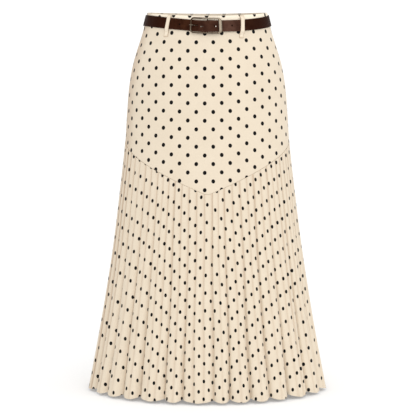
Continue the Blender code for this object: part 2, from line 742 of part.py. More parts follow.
def build_zip():
    """The tape behind the back edges, the slider inside it, whose neck comes out between those
    edges, and the pull, which hangs from the neck by its eye and lies under the belt."""
    drops = notched_rows()[0] * SIDE_SEAM_DROP
    drops = drops[(drops > ZIP_TOP) & (drops < ZIP_LENGTH)]
    drops = back_drop(np.concatenate([[ZIP_TOP], drops, [ZIP_LENGTH]]))[:, None]
    across = np.linspace(-0.5, 0.5, 5)[None, :] * ZIP_TAPE_WIDTH
    near = -CLOTH - TAPE_GAP
    tape = add_wall("zip_tape", back_place(across, drops, near),
                    back_place(across, drops, near - ZIP_TAPE_THICK), NYLON)

    face = near - ZIP_TAPE_THICK - SEAM_GAP
    pull_top = SEAM_GAP + PULL_THICK
    width, height, depth = SLIDER_SIZE
    neck = (NECK_HALF_WIDTH, 0.5 * NECK_HEIGHT)
    middle = back_drop(NECK_TOP + 0.5 * NECK_HEIGHT)
    levels = (
        # half width, half height, out
        (0.5 * width, 0.5 * height, face - depth),
        (0.5 * width, 0.5 * height, face),
        (*neck, face),
        (*neck, pull_top + LEATHER_GAP),
    )
    rings = [plate_ring(*level, middle) for level in levels]
    add_tube("zip_slider", np.stack(rings), False, BRONZE, roughness=0.4, metallic=1.0)

    pull_middle = middle - PULL_EYE + 0.5 * PULL_LENGTH
    turn = np.linspace(0.0, 2.0 * math.pi, PULL_SIDES + 1)[:-1]
    lowness = 0.5 * (1.0 - np.cos(turn))
    half = PULL_TOP_HALF + (PULL_LOW_HALF - PULL_TOP_HALF) * lowness
    pull_across = half * np.sin(turn)
    pull_drop = pull_middle - 0.5 * PULL_LENGTH * np.cos(turn)
    rings = [back_place(pull_across, pull_drop, level) for level in (SEAM_GAP, pull_top)]
    pull = add_tube("zip_pull", np.stack(rings), False, BRONZE, roughness=0.4, metallic=1.0)

    room = (neck[0] + SEAM_GAP, neck[1] + SEAM_GAP)
    rings = [plate_ring(*room, out, middle) for out in (face - MM, pull_top + MM)]
    punch = as_cutter(add_tube("neck_room", np.stack(rings), False, NYLON))
    for piece in (tape, pull):
        cut = piece.modifiers.new("neck_room", "BOOLEAN")
        cut.operation = "DIFFERENCE"
        cut.solver = "EXACT"
        cut.object = punch


def plate_ring(half_width, half_height, out, middle):
    """Four corners of a small plate at the centre back."""
    across = np.array((-half_width, half_width, half_width, -half_width))
    drop = middle + np.array((-half_height, -half_height, half_height, half_height))
    return back_place(across, drop, np.full(4, out))


def main():
    clear_scene()
    build_yoke("yoke_front", -90.0, 90.0)
    build_yoke("yoke_back_right", 90.0, 180.0, notch_side=1)
    build_yoke("yoke_back_left", -180.0, -90.0, notch_side=-1)
    build_pleats("pleats_front", 0.0)
    build_pleats("pleats_back", 180.0)
    build_belt()
    build_buckle()
    build_prong()
    for loop in LOOPS:
        build_loop(*loop)
    build_zip()


main()
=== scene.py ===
# %% [markdown]
# # A pleated a-line skirt with its leather belt
#
# This lesson dresses the imported solids of a midi skirt: a smooth pointed yoke, a flounce of fine
# pressed pleats, four belt loops, a concealed zip and a narrow belt with its buckle. The skirt
# keeps the filled-out form that it has when it is worn. The solids fix every size and place, so
# the first step loads them and keeps their box.

# %% Load the imported skirt
import math

import bmesh
import bpy
import numpy as np
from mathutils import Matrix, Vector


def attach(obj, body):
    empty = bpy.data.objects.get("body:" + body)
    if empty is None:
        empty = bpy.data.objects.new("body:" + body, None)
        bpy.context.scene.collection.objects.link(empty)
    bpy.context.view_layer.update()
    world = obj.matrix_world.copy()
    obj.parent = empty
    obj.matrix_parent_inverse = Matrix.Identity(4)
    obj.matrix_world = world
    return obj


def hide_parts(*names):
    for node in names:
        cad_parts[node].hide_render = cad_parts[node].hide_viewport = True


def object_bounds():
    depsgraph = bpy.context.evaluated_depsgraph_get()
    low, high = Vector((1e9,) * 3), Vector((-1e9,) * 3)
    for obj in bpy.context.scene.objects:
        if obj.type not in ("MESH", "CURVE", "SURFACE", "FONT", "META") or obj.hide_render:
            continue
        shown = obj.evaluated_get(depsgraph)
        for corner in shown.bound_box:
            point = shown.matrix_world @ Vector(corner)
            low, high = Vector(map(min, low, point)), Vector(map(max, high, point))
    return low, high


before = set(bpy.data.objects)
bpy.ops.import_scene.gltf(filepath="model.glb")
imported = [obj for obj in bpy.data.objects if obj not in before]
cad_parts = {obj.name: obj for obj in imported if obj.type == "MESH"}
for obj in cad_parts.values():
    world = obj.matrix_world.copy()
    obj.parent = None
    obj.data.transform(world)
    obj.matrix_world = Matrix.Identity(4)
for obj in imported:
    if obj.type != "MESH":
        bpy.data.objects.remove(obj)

MM = 0.001
solid_low, solid_high = [list(corner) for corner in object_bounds()]
print("nodes:", sorted(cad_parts))
print("solid box in mm:", [round(1000 * (b - a)) for a, b in zip(solid_low, solid_high)])

# %% [markdown]
# ## Camera
#
# The skirt is seen straight from the front with a long lens, a little above its waist, so the
# waist curves down and the hem curves up only slightly. A short lens close by would do as well,
# but then the hips would look wider than the hem.

# %% Place the camera
CAMERA_PLACE = (0.0015, -4.2, 0.12)
CAMERA_PITCH_DEG = 6.867
PHOTO_SIDE = 416
FOCAL_PIXELS = 2026.0
SENSOR = 36.0


def add_object(name, data, place=(0.0, 0.0, 0.0), turn_deg=(0.0, 0.0, 0.0)):
    """An object in the scene that shows the given data."""
    thing = bpy.data.objects.new(name, data)
    thing.location = place
    thing.rotation_euler = [math.radians(angle) for angle in turn_deg]
    bpy.context.scene.collection.objects.link(thing)
    return thing


lens = bpy.data.cameras.new("camera")
lens.sensor_width = SENSOR
lens.lens = SENSOR * FOCAL_PIXELS / PHOTO_SIDE
bpy.context.scene.camera = add_object("camera", lens, CAMERA_PLACE, (90.0 - CAMERA_PITCH_DEG, 0.0, 0.0))
print("lens in mm:", round(lens.lens, 1))

# %% [markdown]
# ## Values in a material
#
# A material is a tree of nodes, and each sum or product in it is a Math node. Written out they
# hide the idea, so a small class lets a value in a tree be used like a number. The nodes are the
# same as those that are added by hand in the shader editor.

# %% Values, nodes and groups


class Flow:
    """A value on its way through a node tree; its sums and products are Math nodes."""

    def __init__(self, socket):
        self.socket = socket
        self.nodes = socket.id_data.nodes

    def math(self, operation, *others):
        inputs = dict(enumerate((self, *others)))
        return Flow(add_node(self.nodes, "Math", inputs, operation=operation).outputs[0])

    def __add__(self, other):
        return self.math("ADD", other)

    def __sub__(self, other):
        return self.math("SUBTRACT", other)

    def __mul__(self, other):
        return self.math("MULTIPLY", other)

    def __truediv__(self, other):
        return self.math("DIVIDE", other)


def join(value, target):
    """Links a flow to a socket, or sets the socket to a plain value."""
    if isinstance(value, Flow):
        target.id_data.links.new(value.socket, target)
    else:
        target.default_value = value


def add_node(nodes, kind, inputs, **settings):
    """A node with its settings, and its inputs joined by name or number."""
    node = nodes.new("ShaderNode" + kind)
    for title, value in settings.items():
        setattr(node, title, value)
    for title, value in inputs.items():
        join(value, node.inputs[title])
    return node


def noise(vector, scale, detail=2.0, roughness=0.5):
    """A Noise texture's value, about 0.5 on average."""
    inputs = {"Vector": vector, "Scale": scale, "Detail": detail, "Roughness": roughness}
    return Flow(add_node(vector.nodes, "TexNoise", inputs).outputs["Fac"])


def remap(value, low, high, to_low=0.0, to_high=1.0):
    """A Map Range node, which clamps."""
    inputs = {"Value": value, "From Min": low, "From Max": high, "To Min": to_low, "To Max": to_high}
    return Flow(add_node(value.nodes, "MapRange", inputs).outputs["Result"])


def mix_colour(share, first, second):
    """A Mix node between two colours."""
    node = add_node(share.nodes, "Mix", {"Factor": share}, data_type="RGBA")
    for value, target in zip((first, second), [s for s in node.inputs if s.type == "RGBA"]):
        join(value, target)
    return Flow([s for s in node.outputs if s.type == "RGBA"][0])


def apart(vector):
    """The three parts of a vector."""
    return [Flow(part) for part in add_node(vector.nodes, "SeparateXYZ", {0: vector}).outputs]


def read_map(nodes, title):
    return Flow(add_node(nodes, "UVMap", {}, uv_map=title).outputs["UV"])


def read_attribute(nodes, title, output="Fac"):
    return Flow(add_node(nodes, "Attribute", {}, attribute_name=title).outputs[output])


def read_place(nodes):
    return Flow(add_node(nodes, "TexCoord", {}).outputs["Object"])


def new_group(name, inputs, outputs):
    """A node group, what flows into it by name, and the sockets that it has to fill."""
    group = bpy.data.node_groups.new(name, "ShaderNodeTree")
    for side, sockets in (("INPUT", inputs), ("OUTPUT", outputs)):
        for title, kind in sockets.items():
            group.interface.new_socket(title, in_out=side, socket_type="NodeSocket" + kind)
    given = group.nodes.new("NodeGroupInput").outputs
    return group, {title: Flow(given[title]) for title in inputs}, group.nodes.new("NodeGroupOutput").inputs


def place_group(nodes, group, **inputs):
    """A group node with its inputs joined, as what flows out of it by name."""
    return {s.name: Flow(s) for s in add_node(nodes, "Group", inputs, node_tree=group).outputs}


def new_finish(name, numbers):
    """A material, its nodes and its shader, whose own numbers are set."""
    finish = bpy.data.materials.new(name)
    finish.use_nodes = True
    shader = finish.node_tree.nodes["Principled BSDF"]
    for title, number in numbers.items():
        shader.inputs[title].default_value = number
    return finish, finish.node_tree.nodes, shader


def paint(shader, colour, roughness, height, distance, strength):
    """Feeds a colour, a roughness and a bump of a height into the shader."""
    bump = add_node(height.nodes, "Bump", {"Height": height, "Distance": distance, "Strength": strength})
    join(colour, shader.inputs["Base Color"])
    join(roughness, shader.inputs["Roughness"])
    join(Flow(bump.outputs["Normal"]), shader.inputs["Normal"])


# %% [markdown]
# ## Floor and light
#
# A studio shot on white: a very pale floor that reaches past the horizon, a bright even sky, a
# broad sun from the front and two weaker ones, from the right and the left. The floor glows a
# little, like the lit sheet of a product table, so that the shadow under the hem stays pale. Area
# lamps would do too, but a sun has no falloff, so the floor stays white however far it is.

# %% Lay the floor and light it
HEM_HEIGHT = solid_low[2]
FLOOR_GAP = 5.0 * MM
FLOOR_REACH = 60.0
FLOOR_GLOW = 0.225
WHITE = (1.0, 1.0, 1.0, 1.0)
SUN_ANGLE_DEG = 50.0
SUN_COLOUR = (1.0, 0.99, 0.97)
SUNS = (
    # name, strength, tilt down from overhead, turn from the front towards the right, in degrees
    ("key_sun", 0.98, 60.0, 8.0),
    ("side_sun", 0.38, 65.0, 72.0),
    ("fill_sun", 0.17, 65.0, -72.0),
)


def lay_floor():
    """One square face just below the hem, pale and matt with a faint mottle."""
    mesh = bpy.data.meshes.new("floor")
    corners = [(x * FLOOR_REACH, y * FLOOR_REACH, HEM_HEIGHT - FLOOR_GAP)
               for x, y in ((-1, -1), (1, -1), (1, 1), (-1, 1))]
    mesh.from_pydata(corners, [], [(0, 1, 2, 3)])
    finish, nodes, shader = new_finish("floor_paint", {
        "Roughness": 0.9, "Specular IOR Level": 0.1, "Emission Color": WHITE,
        "Emission Strength": FLOOR_GLOW})
    join(remap(noise(read_place(nodes), 3.0), 0.0, 1.0, 0.70, 0.72), shader.inputs["Base Color"])
    mesh.materials.append(finish)
    add_object("floor", mesh)


lay_floor()
for name, strength, tilt_deg, turn_deg in SUNS:
    light = bpy.data.lights.new(name, "SUN")
    light.energy, light.angle, light.color = strength, math.radians(SUN_ANGLE_DEG), SUN_COLOUR
    add_object(name, light, turn_deg=(tilt_deg, 0.0, turn_deg))
sky = bpy.data.worlds.new("sky")
sky.use_nodes = True
sky.node_tree.nodes["Background"].inputs["Color"].default_value = WHITE
bpy.context.scene.world = sky
bpy.context.scene.view_settings.view_transform = "Standard"
print("floor at", round(HEM_HEIGHT - FLOOR_GAP, 4), "and", len(SUNS), "suns")

# %% [markdown]
# ## The cloth's surface
#
# A patternmaker thinks of a skirt as rings: at each height there is a width from side to side
# and a depth to the front and to the back. The rings that shaped the solids are repeated here,
# with one smooth curve through them, so every new piece lies on its solid. A point is given by
# an angle round the body (0 at the centre front, growing to the right of the picture) and by its
# drop below the side of the top edge.

# %% Rings and the curve through them
TOP_HEIGHT = solid_high[2]
HEM_DROP = TOP_HEIGHT - HEM_HEIGHT
TOP_DIP = 4.0 * MM            # of the top edge, at the centre front and at the centre back
RINGS = np.array([
    # drop, half_width, front_depth, back_depth
    (0.000, 0.1236, 0.089, 0.091),
    (0.024, 0.1296, 0.092, 0.096),
    (0.045, 0.1346, 0.095, 0.100),
    (0.070, 0.1428, 0.100, 0.107),
    (0.100, 0.1520, 0.106, 0.116),
    (0.150, 0.1615, 0.113, 0.129),
    (0.200, 0.1659, 0.118, 0.138),
    (0.270, 0.1706, 0.124, 0.143),
    (0.370, 0.1824, 0.133, 0.148),
    (0.470, 0.1956, 0.142, 0.154),
    (0.570, 0.2115, 0.154, 0.163),
    (0.670, 0.2293, 0.167, 0.175),
    (0.782, 0.2514, 0.183, 0.190),
])


def curve_through(knots, values, stops):
    """Rows of values read at stops: a cubic between each pair of knots, whose slope at a knot is
    the mean slope of its two neighbours."""
    low = np.clip(np.searchsorted(knots, stops, side="right") - 1, 0, len(knots) - 2)
    span = np.asarray(knots[low + 1] - knots[low])[..., None]
    t = np.asarray(stops - knots[low])[..., None] / span
    slopes = np.gradient(values, knots, axis=0)
    return (values[low] * (2 * t**3 - 3 * t**2 + 1) + slopes[low] * span * (t**3 - 2 * t**2 + t)
            + values[low + 1] * (3 * t**2 - 2 * t**3) + slopes[low + 1] * span * (t**3 - t**2))


def ring_sizes(drop):
    """Half width, front depth and back depth at a drop."""
    knots = RINGS[:, 0]
    return np.moveaxis(curve_through(knots, RINGS[:, 1:], np.clip(drop, knots[0], knots[-1])), -1, 0)


def cloth_point(angle, drop):
    """Outer side of the cloth: half an ellipse in front, another behind."""
    half_width, front, back = ring_sizes(drop)
    depth = np.where(np.cos(angle) > 0.0, front, back)
    return np.stack([half_width * np.sin(angle), -depth * np.cos(angle),
                     TOP_HEIGHT - drop + 0.0 * angle], axis=-1)


def unit(vector):
    return vector / np.linalg.norm(vector, axis=-1, keepdims=True)


def smooth_step(t):
    """From 0 to 1 with level ends: three squares less two cubes."""
    t = np.clip(t, 0.0, 1.0)
    return t * t * (3.0 - 2.0 * t)


def bell(distance):
    """1 at no distance, falling off on both sides as the exponential of its square."""
    return np.exp(-(distance**2))


def cloth_up(angle, drop):
    """Unit vector up the cloth, from two points 2 mm apart."""
    return unit(cloth_point(angle, np.maximum(drop - MM, 0.0)) - cloth_point(angle, drop + MM))


def cloth_out(angle, drop):
    """Unit vector out of the cloth: square to the ring and to the way up."""
    step = 0.002
    along = cloth_point(angle + step, drop) - cloth_point(angle - step, drop)
    return unit(np.cross(along, cloth_up(angle, drop)))


def level_out(angle, drop):
    """The way out of the cloth, kept level."""
    return unit(cloth_out(angle, drop) * (1.0, 1.0, 0.0))


def top_drop(angle):
    """The top edge dips by the square of the cosine, over the front and over the back."""
    return TOP_DIP * np.cos(angle) ** 2


# %% The pointed seam
SIDE_SEAM_DROP = 0.265
POINT_DEPTH = 0.098
POINT_CURVE = 1.25
POINT_EASE = 0.04
POINT_ROUNDING = math.radians(1.5)


def seam_drop(angle):
    """The yoke's seam: level behind, and in front a point whose sides are a power of the
    distance from the side seam."""
    from_front = np.sqrt(angle**2 + POINT_ROUNDING**2) - POINT_ROUNDING
    to_side = np.clip(1.0 - from_front / (0.5 * math.pi), 0.0, 1.0)

    def eased(share):
        return (share**2 + POINT_EASE**2) ** (POINT_CURVE / 2) - POINT_EASE**POINT_CURVE

    return SIDE_SEAM_DROP + POINT_DEPTH * eased(to_side) / eased(1.0)


print("hem drop:", round(HEM_DROP, 4), " point of the yoke:", round(float(seam_drop(0.0)), 4))

# %% [markdown]
# ## From grids of points to pieces
#
# Every sheet of cloth here is a thin closed wall: an outer grid of points, an inner one, and a
# rim between them. Solidify could thicken a single sheet, but two grids let the hem and the
# folded edges be shaped one by one. Beside its points a piece carries UV maps in metres of cloth,
# for the weave, and other values for each point, for the print and the folds.

# %% Faces of walls and tubes


def wall_faces(rows, columns):
    """The outer grid, whose rows run down and whose columns run round, the inner one turned
    round, and a rim that follows their border down, along, up and back."""
    shift = rows * columns
    grid = np.arange(shift).reshape(rows, columns)
    outer = np.stack([grid[:-1, :-1], grid[1:, :-1], grid[1:, 1:], grid[:-1, 1:]], axis=-1).reshape(-1, 4)
    border = np.concatenate([grid[:-1, 0], grid[-1, :-1], grid[:0:-1, -1], grid[0, :0:-1]])
    after = np.roll(border, -1)
    rim = np.stack([border, border + shift, after + shift, after], axis=-1)
    return np.concatenate([outer, outer[:, ::-1] + shift, rim])


def tube_faces(count, sides, closed=False):
    """Faces of a tube through rings of points, looped or with an end face at each end."""
    ring = np.arange(count if closed else count - 1)[:, None] * sides
    k = np.arange(sides)[None, :]
    after = (ring + sides) % (count * sides)
    faces = np.stack([ring + k, ring + (k + 1) % sides, after + (k + 1) % sides, after + k], axis=-1)
    faces = [tuple(face) for face in faces.reshape(-1, 4).tolist()]
    if not closed:
        faces += [tuple(range(sides))[::-1], tuple(range((count - 1) * sides, count * sides))]
    return faces


def many_tubes(number, count, sides):
    """Faces of a number of equal tubes in one mesh."""
    one = tube_faces(count, sides)
    return [tuple(c + i * count * sides for c in face) for i in range(number) for face in one]


# %% Pieces


def add_piece(name, points, faces, material, maps=None, values=None, sharp_deg=50.0, mend=True):
    """One object from points and faces. maps holds UV maps and values holds attributes, each
    with one entry for each point. mend turns the faces of a closed tube outwards."""
    mesh = bpy.data.meshes.new(name)
    mesh.from_pydata(np.reshape(points, (-1, 3)).tolist(), [], faces if mend else faces.tolist())
    mesh.shade_smooth()
    mesh.set_sharp_from_angle(angle=math.radians(sharp_deg))
    corner = np.empty(len(mesh.loops), dtype=np.int32)
    mesh.loops.foreach_get("vertex_index", corner)
    for title, pairs in (maps or {}).items():
        layer = mesh.uv_layers.new(name=title)
        layer.data.foreach_set("uv", np.reshape(pairs, (-1, 2)).astype(np.float32)[corner].ravel())
    for title, numbers in (values or {}).items():
        single = np.size(numbers) == len(mesh.vertices)
        kind, field = ("FLOAT", "value") if single else ("FLOAT_VECTOR", "vector")
        layer = mesh.attributes.new(title, kind, "POINT")
        layer.data.foreach_set(field, np.asarray(numbers, dtype=np.float32).ravel())
    mesh.materials.append(material)
    if mend:
        work = bmesh.new()
        work.from_mesh(mesh)
        bmesh.ops.recalc_face_normals(work, faces=work.faces)
        work.to_mesh(mesh)
        work.free()
    return add_object(name, mesh)


def dress(piece, node=None):
    """Fastens a finished piece to the skirt's one body, in place of its solid if it has one."""
    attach(piece, "root")
    if node:
        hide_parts(node)
    print(piece.name, sum(len(face.vertices) - 2 for face in piece.data.polygons), "triangles")
    return piece


def paired(first, second):
    """Two values side by side for each point of a grid."""
    return np.stack(np.broadcast_arrays(first, second), axis=-1)


def twice(grid):
    """A value of the outer grid, repeated for the inner one."""
    return np.concatenate([grid, grid])


def full_turn(count):
    """The angles of places that are evenly set round a circle."""
    return np.linspace(0.0, 2.0 * math.pi, count + 1)[:-1]


def running_length(path):
    """Length along a path up to each of its points."""
    return np.concatenate([[0.0], np.cumsum(np.linalg.norm(np.diff(path, axis=0), axis=-1))])


def side_of(path):
    """Unit vectors to the left of a flat path."""
    ahead = unit(np.gradient(path, axis=0))
    return paired(-ahead[:, 1], ahead[:, 0])


# %% [markdown]
# ## Where the dots lie
#
# The print is a half-drop polka dot: columns 17.2 mm apart, each shifted down by half of the
# 34.9 mm repeat. A dot can be found by two whole numbers, one for each diagonal line of dots
# that it lies on. So each point of the cloth carries two running numbers, and there is a dot
# wherever both are whole. This survives seams, folds and curved panels, which a flat texture
# doesn't. Each point also carries how many square millimetres one step of those numbers covers,
# so that a dot keeps its size. The dots aren't quite round: the crepe shrinks sideways when it
# is finished, a little on the yoke and more where the pleats were pressed.

# %% Running numbers of the two diagonals
DOT_COLUMN = 17.2 * MM
DOT_REPEAT = 34.9 * MM
YOKE_DOT = (0.955, 0.85)      # shares that the dots shrink by, across and down
PLEAT_DOT = (1.33, 0.92)
SIDE_DOT = 0.96               # across, where the pleats turn away at the sides
YOKE_FIRST_DOT = 0.1793       # drop of a dot in the column nearest to the centre front
YOKE_CENTRE = -0.0051         # and where that column lies
YOKE_FAR_COLUMN = 14.0        # from here on the columns keep their spacing
YOKE_ASKEW = 3.8 * MM         # how far the belt draws the print sideways, and upwards
YOKE_DRAWN_UP = 0.8 * MM
YOKE_HIP_LIFT = 4.6 * MM
FAN_DROP = 0.57               # drop on the flounce at which the fan is measured
FAN_BEND = 0.06               # distance from the middle at which its slope settles


def arc_from_middle(angle, drop):
    """Length round the ring from the nearer middle, front or back, by adding up short chords."""
    steps = np.linspace(0.0, 1.0, 33)
    half_width, front, back = ring_sizes(drop)
    behind = np.cos(angle) < 0.0
    depth = np.where(behind, back, front)
    angle = np.where(behind, angle - math.pi * np.sign(angle), angle)
    turn = angle[..., None] * steps
    x = half_width[..., None] * np.sin(turn)
    y = depth[..., None] * np.cos(turn)
    return np.sign(angle) * np.hypot(np.diff(x), np.diff(y)).sum(axis=-1)


def yoke_diagonals(angle, drop):
    """The column number is the length round the ring over the spacing, less a cube that widens
    the columns towards the right side; the number along a column is the drop over the repeat,
    half a repeat later in each next column. Their sum and the second one count the two
    diagonals. Over the hips the columns sit a little higher and their repeat is shorter, and
    above the belt the cloth is drawn a few millimetres askew."""
    far = YOKE_FAR_COLUMN
    near_top = 1.0 - smooth_step((drop - 0.010) / 0.018)
    sideways = arc_from_middle(angle, np.maximum(drop, 0.0)) - YOKE_CENTRE - YOKE_ASKEW * near_top
    column = sideways / DOT_COLUMN
    column = column - 4.2e-4 * np.clip(column, 0.0, far) ** 3 + 1.5e-4 * np.clip(-column, 0.0, far) ** 3
    hip_lift = YOKE_HIP_LIFT * np.sin(math.pi * np.clip(column, -16.0, 16.0) / 16.0) ** 2
    first = YOKE_FIRST_DOT - hip_lift - 0.07 * MM * np.clip(column, -far, far) * np.abs(column)
    repeat = DOT_REPEAT * (1.0 - 0.0115 * np.clip(np.abs(column) - 4.0, 0.0, 6.0))
    lifted = drop + YOKE_DRAWN_UP * near_top * bell(column / 3.0)
    place = (lifted - first) / repeat - 0.5 * column
    return place + column, place


def pleat_diagonals(sideways, drop):
    """On the flounce the diagonals fan out. Each number grows with the drop and with the
    distance sideways. On the side where a diagonal lies flat its slope fades in proportion to
    the distance; on the other side it steepens over the first 6 cm and then stays."""
    low = drop - FAN_DROP
    left, right = np.minimum(sideways, 0.0), np.maximum(sideways, 0.0)
    rising = 3.45 + 48.0 * sideways - 80.0 * right**2 + (29.2 + 22.0 * sideways) * low
    rising = rising - 28.0 * FAN_BEND * np.log(np.cosh(left / FAN_BEND))
    falling = 2.1 - 41.0 * sideways - 70.0 * left**2
    falling = falling - 45.0 * FAN_BEND * np.log(np.cosh(right / FAN_BEND))
    falling = falling + (17.5 + 9.8 * np.exp(-right / 0.05) - 26.0 * left) * low
    return rising, falling


def square_millimetres(first, second, points, shrink, tall_share):
    """For each point of a grid, the three numbers that turn steps of the two diagonals into a
    squared distance on the cloth. They are the inverse of the diagonals' slopes across and down
    the grid, joined with the squared lengths of the grid's own steps and the product between
    them, so the grid may lean. A length counts shrink times across and tall_share times down."""
    across, down = np.gradient(points, axis=1), np.gradient(points, axis=0)
    wide = np.sum(across * across, axis=-1) * shrink**2
    lean = np.sum(across * down, axis=-1) * shrink * tall_share
    tall = np.sum(down * down, axis=-1) * tall_share**2
    a, b = np.gradient(first, axis=1), np.gradient(first, axis=0)
    c, d = np.gradient(second, axis=1), np.gradient(second, axis=0)
    own = wide * d * d - 2.0 * lean * c * d + tall * c * c
    cross = lean * (a * d + b * c) - wide * b * d - tall * a * c
    other = wide * b * b - 2.0 * lean * a * b + tall * a * a
    return np.stack([own, cross, other], axis=-1) * (1.0e6 / (a * d - b * c) ** 2)[..., None]


# %% [markdown]
# ## The printed cloth
#
# The cloth is a smooth, matt, slightly crinkled cream crepe with near-black dots. One node group
# makes the weave, from the UV map in metres, and one the dots, from the running numbers; both
# give only masks and heights. Deep in the folds the cloth looks warmer and darker, because light
# reaches it only off other cream cloth: the shape gives most of that, and a fold mask adds a
# painted shade line at each pressed crease and painted shade on the left side, away from the
# light. Near the top edge and on the loops the cloth is painted paler, as painted light where it
# would lie in shade, and the print shows through only faintly on the reverse.

# %% The weave group
THREAD = 0.42 * MM


def make_weave_group():
    """Plain weave: warp and weft ridges are sines of the two cloth directions, and which one is
    on top alternates like a chessboard. Noise makes the threads uneven, and a slower noise
    crinkles the cloth as crepe yarn does."""
    group, given, out = new_group("crepe_weave", {"Cloth": "Vector", "Thread": "Float"},
                                  {"Height": "Float", "Shade": "Float"})
    cloth = given["Cloth"]
    uneven = noise(cloth, 900.0)
    warp, weft = [((part / given["Thread"] + uneven) * math.pi).math("SINE") for part in apart(cloth)[:2]]
    height = warp * weft * 0.35 + noise(cloth, 260.0, 3.0, 0.6)
    join(height, out["Height"])
    join(remap(noise(cloth, 22.0) * 0.6 + height * 0.25, 0.2, 0.7), out["Shade"])
    return group


WEAVE = make_weave_group()

# %% The dots group
DOT_RADIUS = 3.65             # in mm, as is the soft edge
DOT_EDGE = 0.16


def make_dots_group():
    """The distance to the nearest dot: each running number less its nearest whole number,
    turned into millimetres with the three stored numbers. Ink covers what lies inside the
    radius, which the threads make a little uneven."""
    group, given, out = new_group(
        "printed_dots", {"Diagonals": "Vector", "Scale": "Vector", "Cloth": "Vector", "Radius": "Float"},
        {"Ink": "Float"})
    one, two = [number - number.math("ROUND") for number in apart(given["Diagonals"])[:2]]
    own, cross, other = apart(given["Scale"])
    squared = one * one * own + two * two * other + one * two * cross * 2.0
    ragged = noise(given["Cloth"], 1400.0) * 0.3 - 0.15
    inside = given["Radius"] - (squared.math("MAXIMUM", 0.0).math("SQRT") + ragged)
    join(remap(inside, -DOT_EDGE, DOT_EDGE), out["Ink"])
    return group


DOTS = make_dots_group()

# %% Printed and plain cloth
CREAM = (0.676, 0.590, 0.472, 1.0)
CREAM_SHADE = (0.630, 0.540, 0.422, 1.0)
PAINTED_LIGHT_CREAM = (0.82, 0.73, 0.60, 1.0)
PAINTED_SHADE_TONE = (0.45, 0.335, 0.235, 1.0)
INK = (0.0012, 0.0012, 0.0014, 1.0)


def make_cloth(name, printed):
    """Cream crepe with its painted fold shade and painted light, with or without the dots."""
    finish, nodes, shader = new_finish(name, {"Sheen Weight": 0.10, "Sheen Roughness": 0.45,
                                              "Specular IOR Level": 0.15})
    cloth = read_map(nodes, "cloth")
    weave = place_group(nodes, WEAVE, Cloth=cloth, Thread=THREAD)
    colour = mix_colour(weave["Shade"], CREAM_SHADE, CREAM)
    # Painted light: near the top edge and on the loops the cloth is lifted towards a paler cream, where it
    # would lie in shade.
    colour = mix_colour(read_attribute(nodes, "pale"), colour, PAINTED_LIGHT_CREAM)
    # Painted shade: the fold value darkens the cloth towards this tone in pressed creases, along the yoke's
    # seam, on its left side and along the loops' edges.
    colour = mix_colour(read_attribute(nodes, "fold"), colour, PAINTED_SHADE_TONE)
    if printed:
        dots = place_group(nodes, DOTS, Diagonals=read_map(nodes, "diagonals"), Cloth=cloth,
                           Scale=read_attribute(nodes, "dot_scale", "Vector"), Radius=DOT_RADIUS)
        shows = read_attribute(nodes, "reverse") * -0.6 + 1.0
        colour = mix_colour(dots["Ink"] * shows, colour, INK)
    paint(shader, colour, remap(weave["Height"], 0.0, 1.3, 0.74, 0.9), weave["Height"], 0.12 * MM, 0.5)
    return finish


PRINTED = make_cloth("printed_crepe", True)
PLAIN = make_cloth("plain_crepe", False)


def add_panel(name, outer, inner, along, drop, numbers, scale, fold, pale, sharp_deg):
    """A printed wall: its two grids, its length round and its drop for the weave, the running
    numbers and the scale of the dots, and how much painted shade and painted light each point
    gets."""
    grids = np.concatenate([outer, inner])
    piece = add_piece(name, grids, wall_faces(*drop.shape), PRINTED, sharp_deg=sharp_deg, mend=False,
                      maps={"cloth": twice(paired(along, drop)), "diagonals": twice(paired(*numbers))},
                      values={"dot_scale": twice(scale), "fold": twice(fold), "pale": twice(pale),
                              "reverse": np.concatenate([np.zeros(drop.shape), np.ones(drop.shape)])})
    return dress(piece, name.replace("_cloth", ""))


print("materials:", [finish.name for finish in bpy.data.materials])

# %% [markdown]
# ## The yoke
#
# Three smooth panels lie over the hips: one in front with its long point, two behind, which meet
# at the zip. They are cut to the body, so they hardly fold; only the belt presses them in a
# little and the loops draw faint creases. Each panel is a fine grid between the top edge and the
# seam, pressed in softly along the belt and rolled in at the seam, where the cloth turns under.

# %% Creases of the yoke
CLOTH = 1.2 * MM
SEAM_GAP = 0.3 * MM
HIP_DEPTH = 0.118
SEAM_ANGLE = 0.5 * SEAM_GAP / HIP_DEPTH
ROLL = 2.2 * MM
YOKE_CREASES = (
    # angle_deg, drop, lean_deg_per_metre, half_width_deg, half_length, depth_mm
    (-43.0, 0.075, 60.0, 2.2, 0.030, 0.35),
    (-36.5, 0.090, -45.0, 1.8, 0.036, 0.28),
    (36.0, 0.082, -55.0, 2.0, 0.034, 0.32),
    (52.0, 0.110, 40.0, 2.6, 0.045, 0.30),
    (-66.0, 0.120, 35.0, 2.8, 0.050, 0.34),
    (8.0, 0.070, 20.0, 3.0, 0.028, 0.20),
    (-18.0, 0.210, -30.0, 3.4, 0.060, 0.22),
    (27.0, 0.235, 25.0, 3.0, 0.055, 0.20),
    (128.0, 0.080, 50.0, 2.2, 0.034, 0.34),
    (-133.0, 0.086, -40.0, 2.0, 0.040, 0.30),
    (150.0, 0.150, -20.0, 3.2, 0.055, 0.26),
    (-160.0, 0.120, 25.0, 2.8, 0.048, 0.30),
    (171.0, 0.190, 10.0, 2.4, 0.060, 0.22),
)


def soft_creases(angle, drop):
    """Depth of the yoke's faint drag lines: slanting troughs below each loop and over the hips,
    each a narrow bell across and a longer bell along its own line."""
    depth = 0.0 * angle
    for middle, height, lean, width, length, deep in YOKE_CREASES:
        away = (np.degrees(angle) - middle - lean * (drop - height)) / width
        depth += deep * MM * bell(away) * bell((drop - height) / length)
    return depth


def belt_press(drop):
    """The belt draws the cloth in by a fraction of a millimetre along its lower edge."""
    return 0.35 * MM * bell((drop - 0.034) / 0.007)


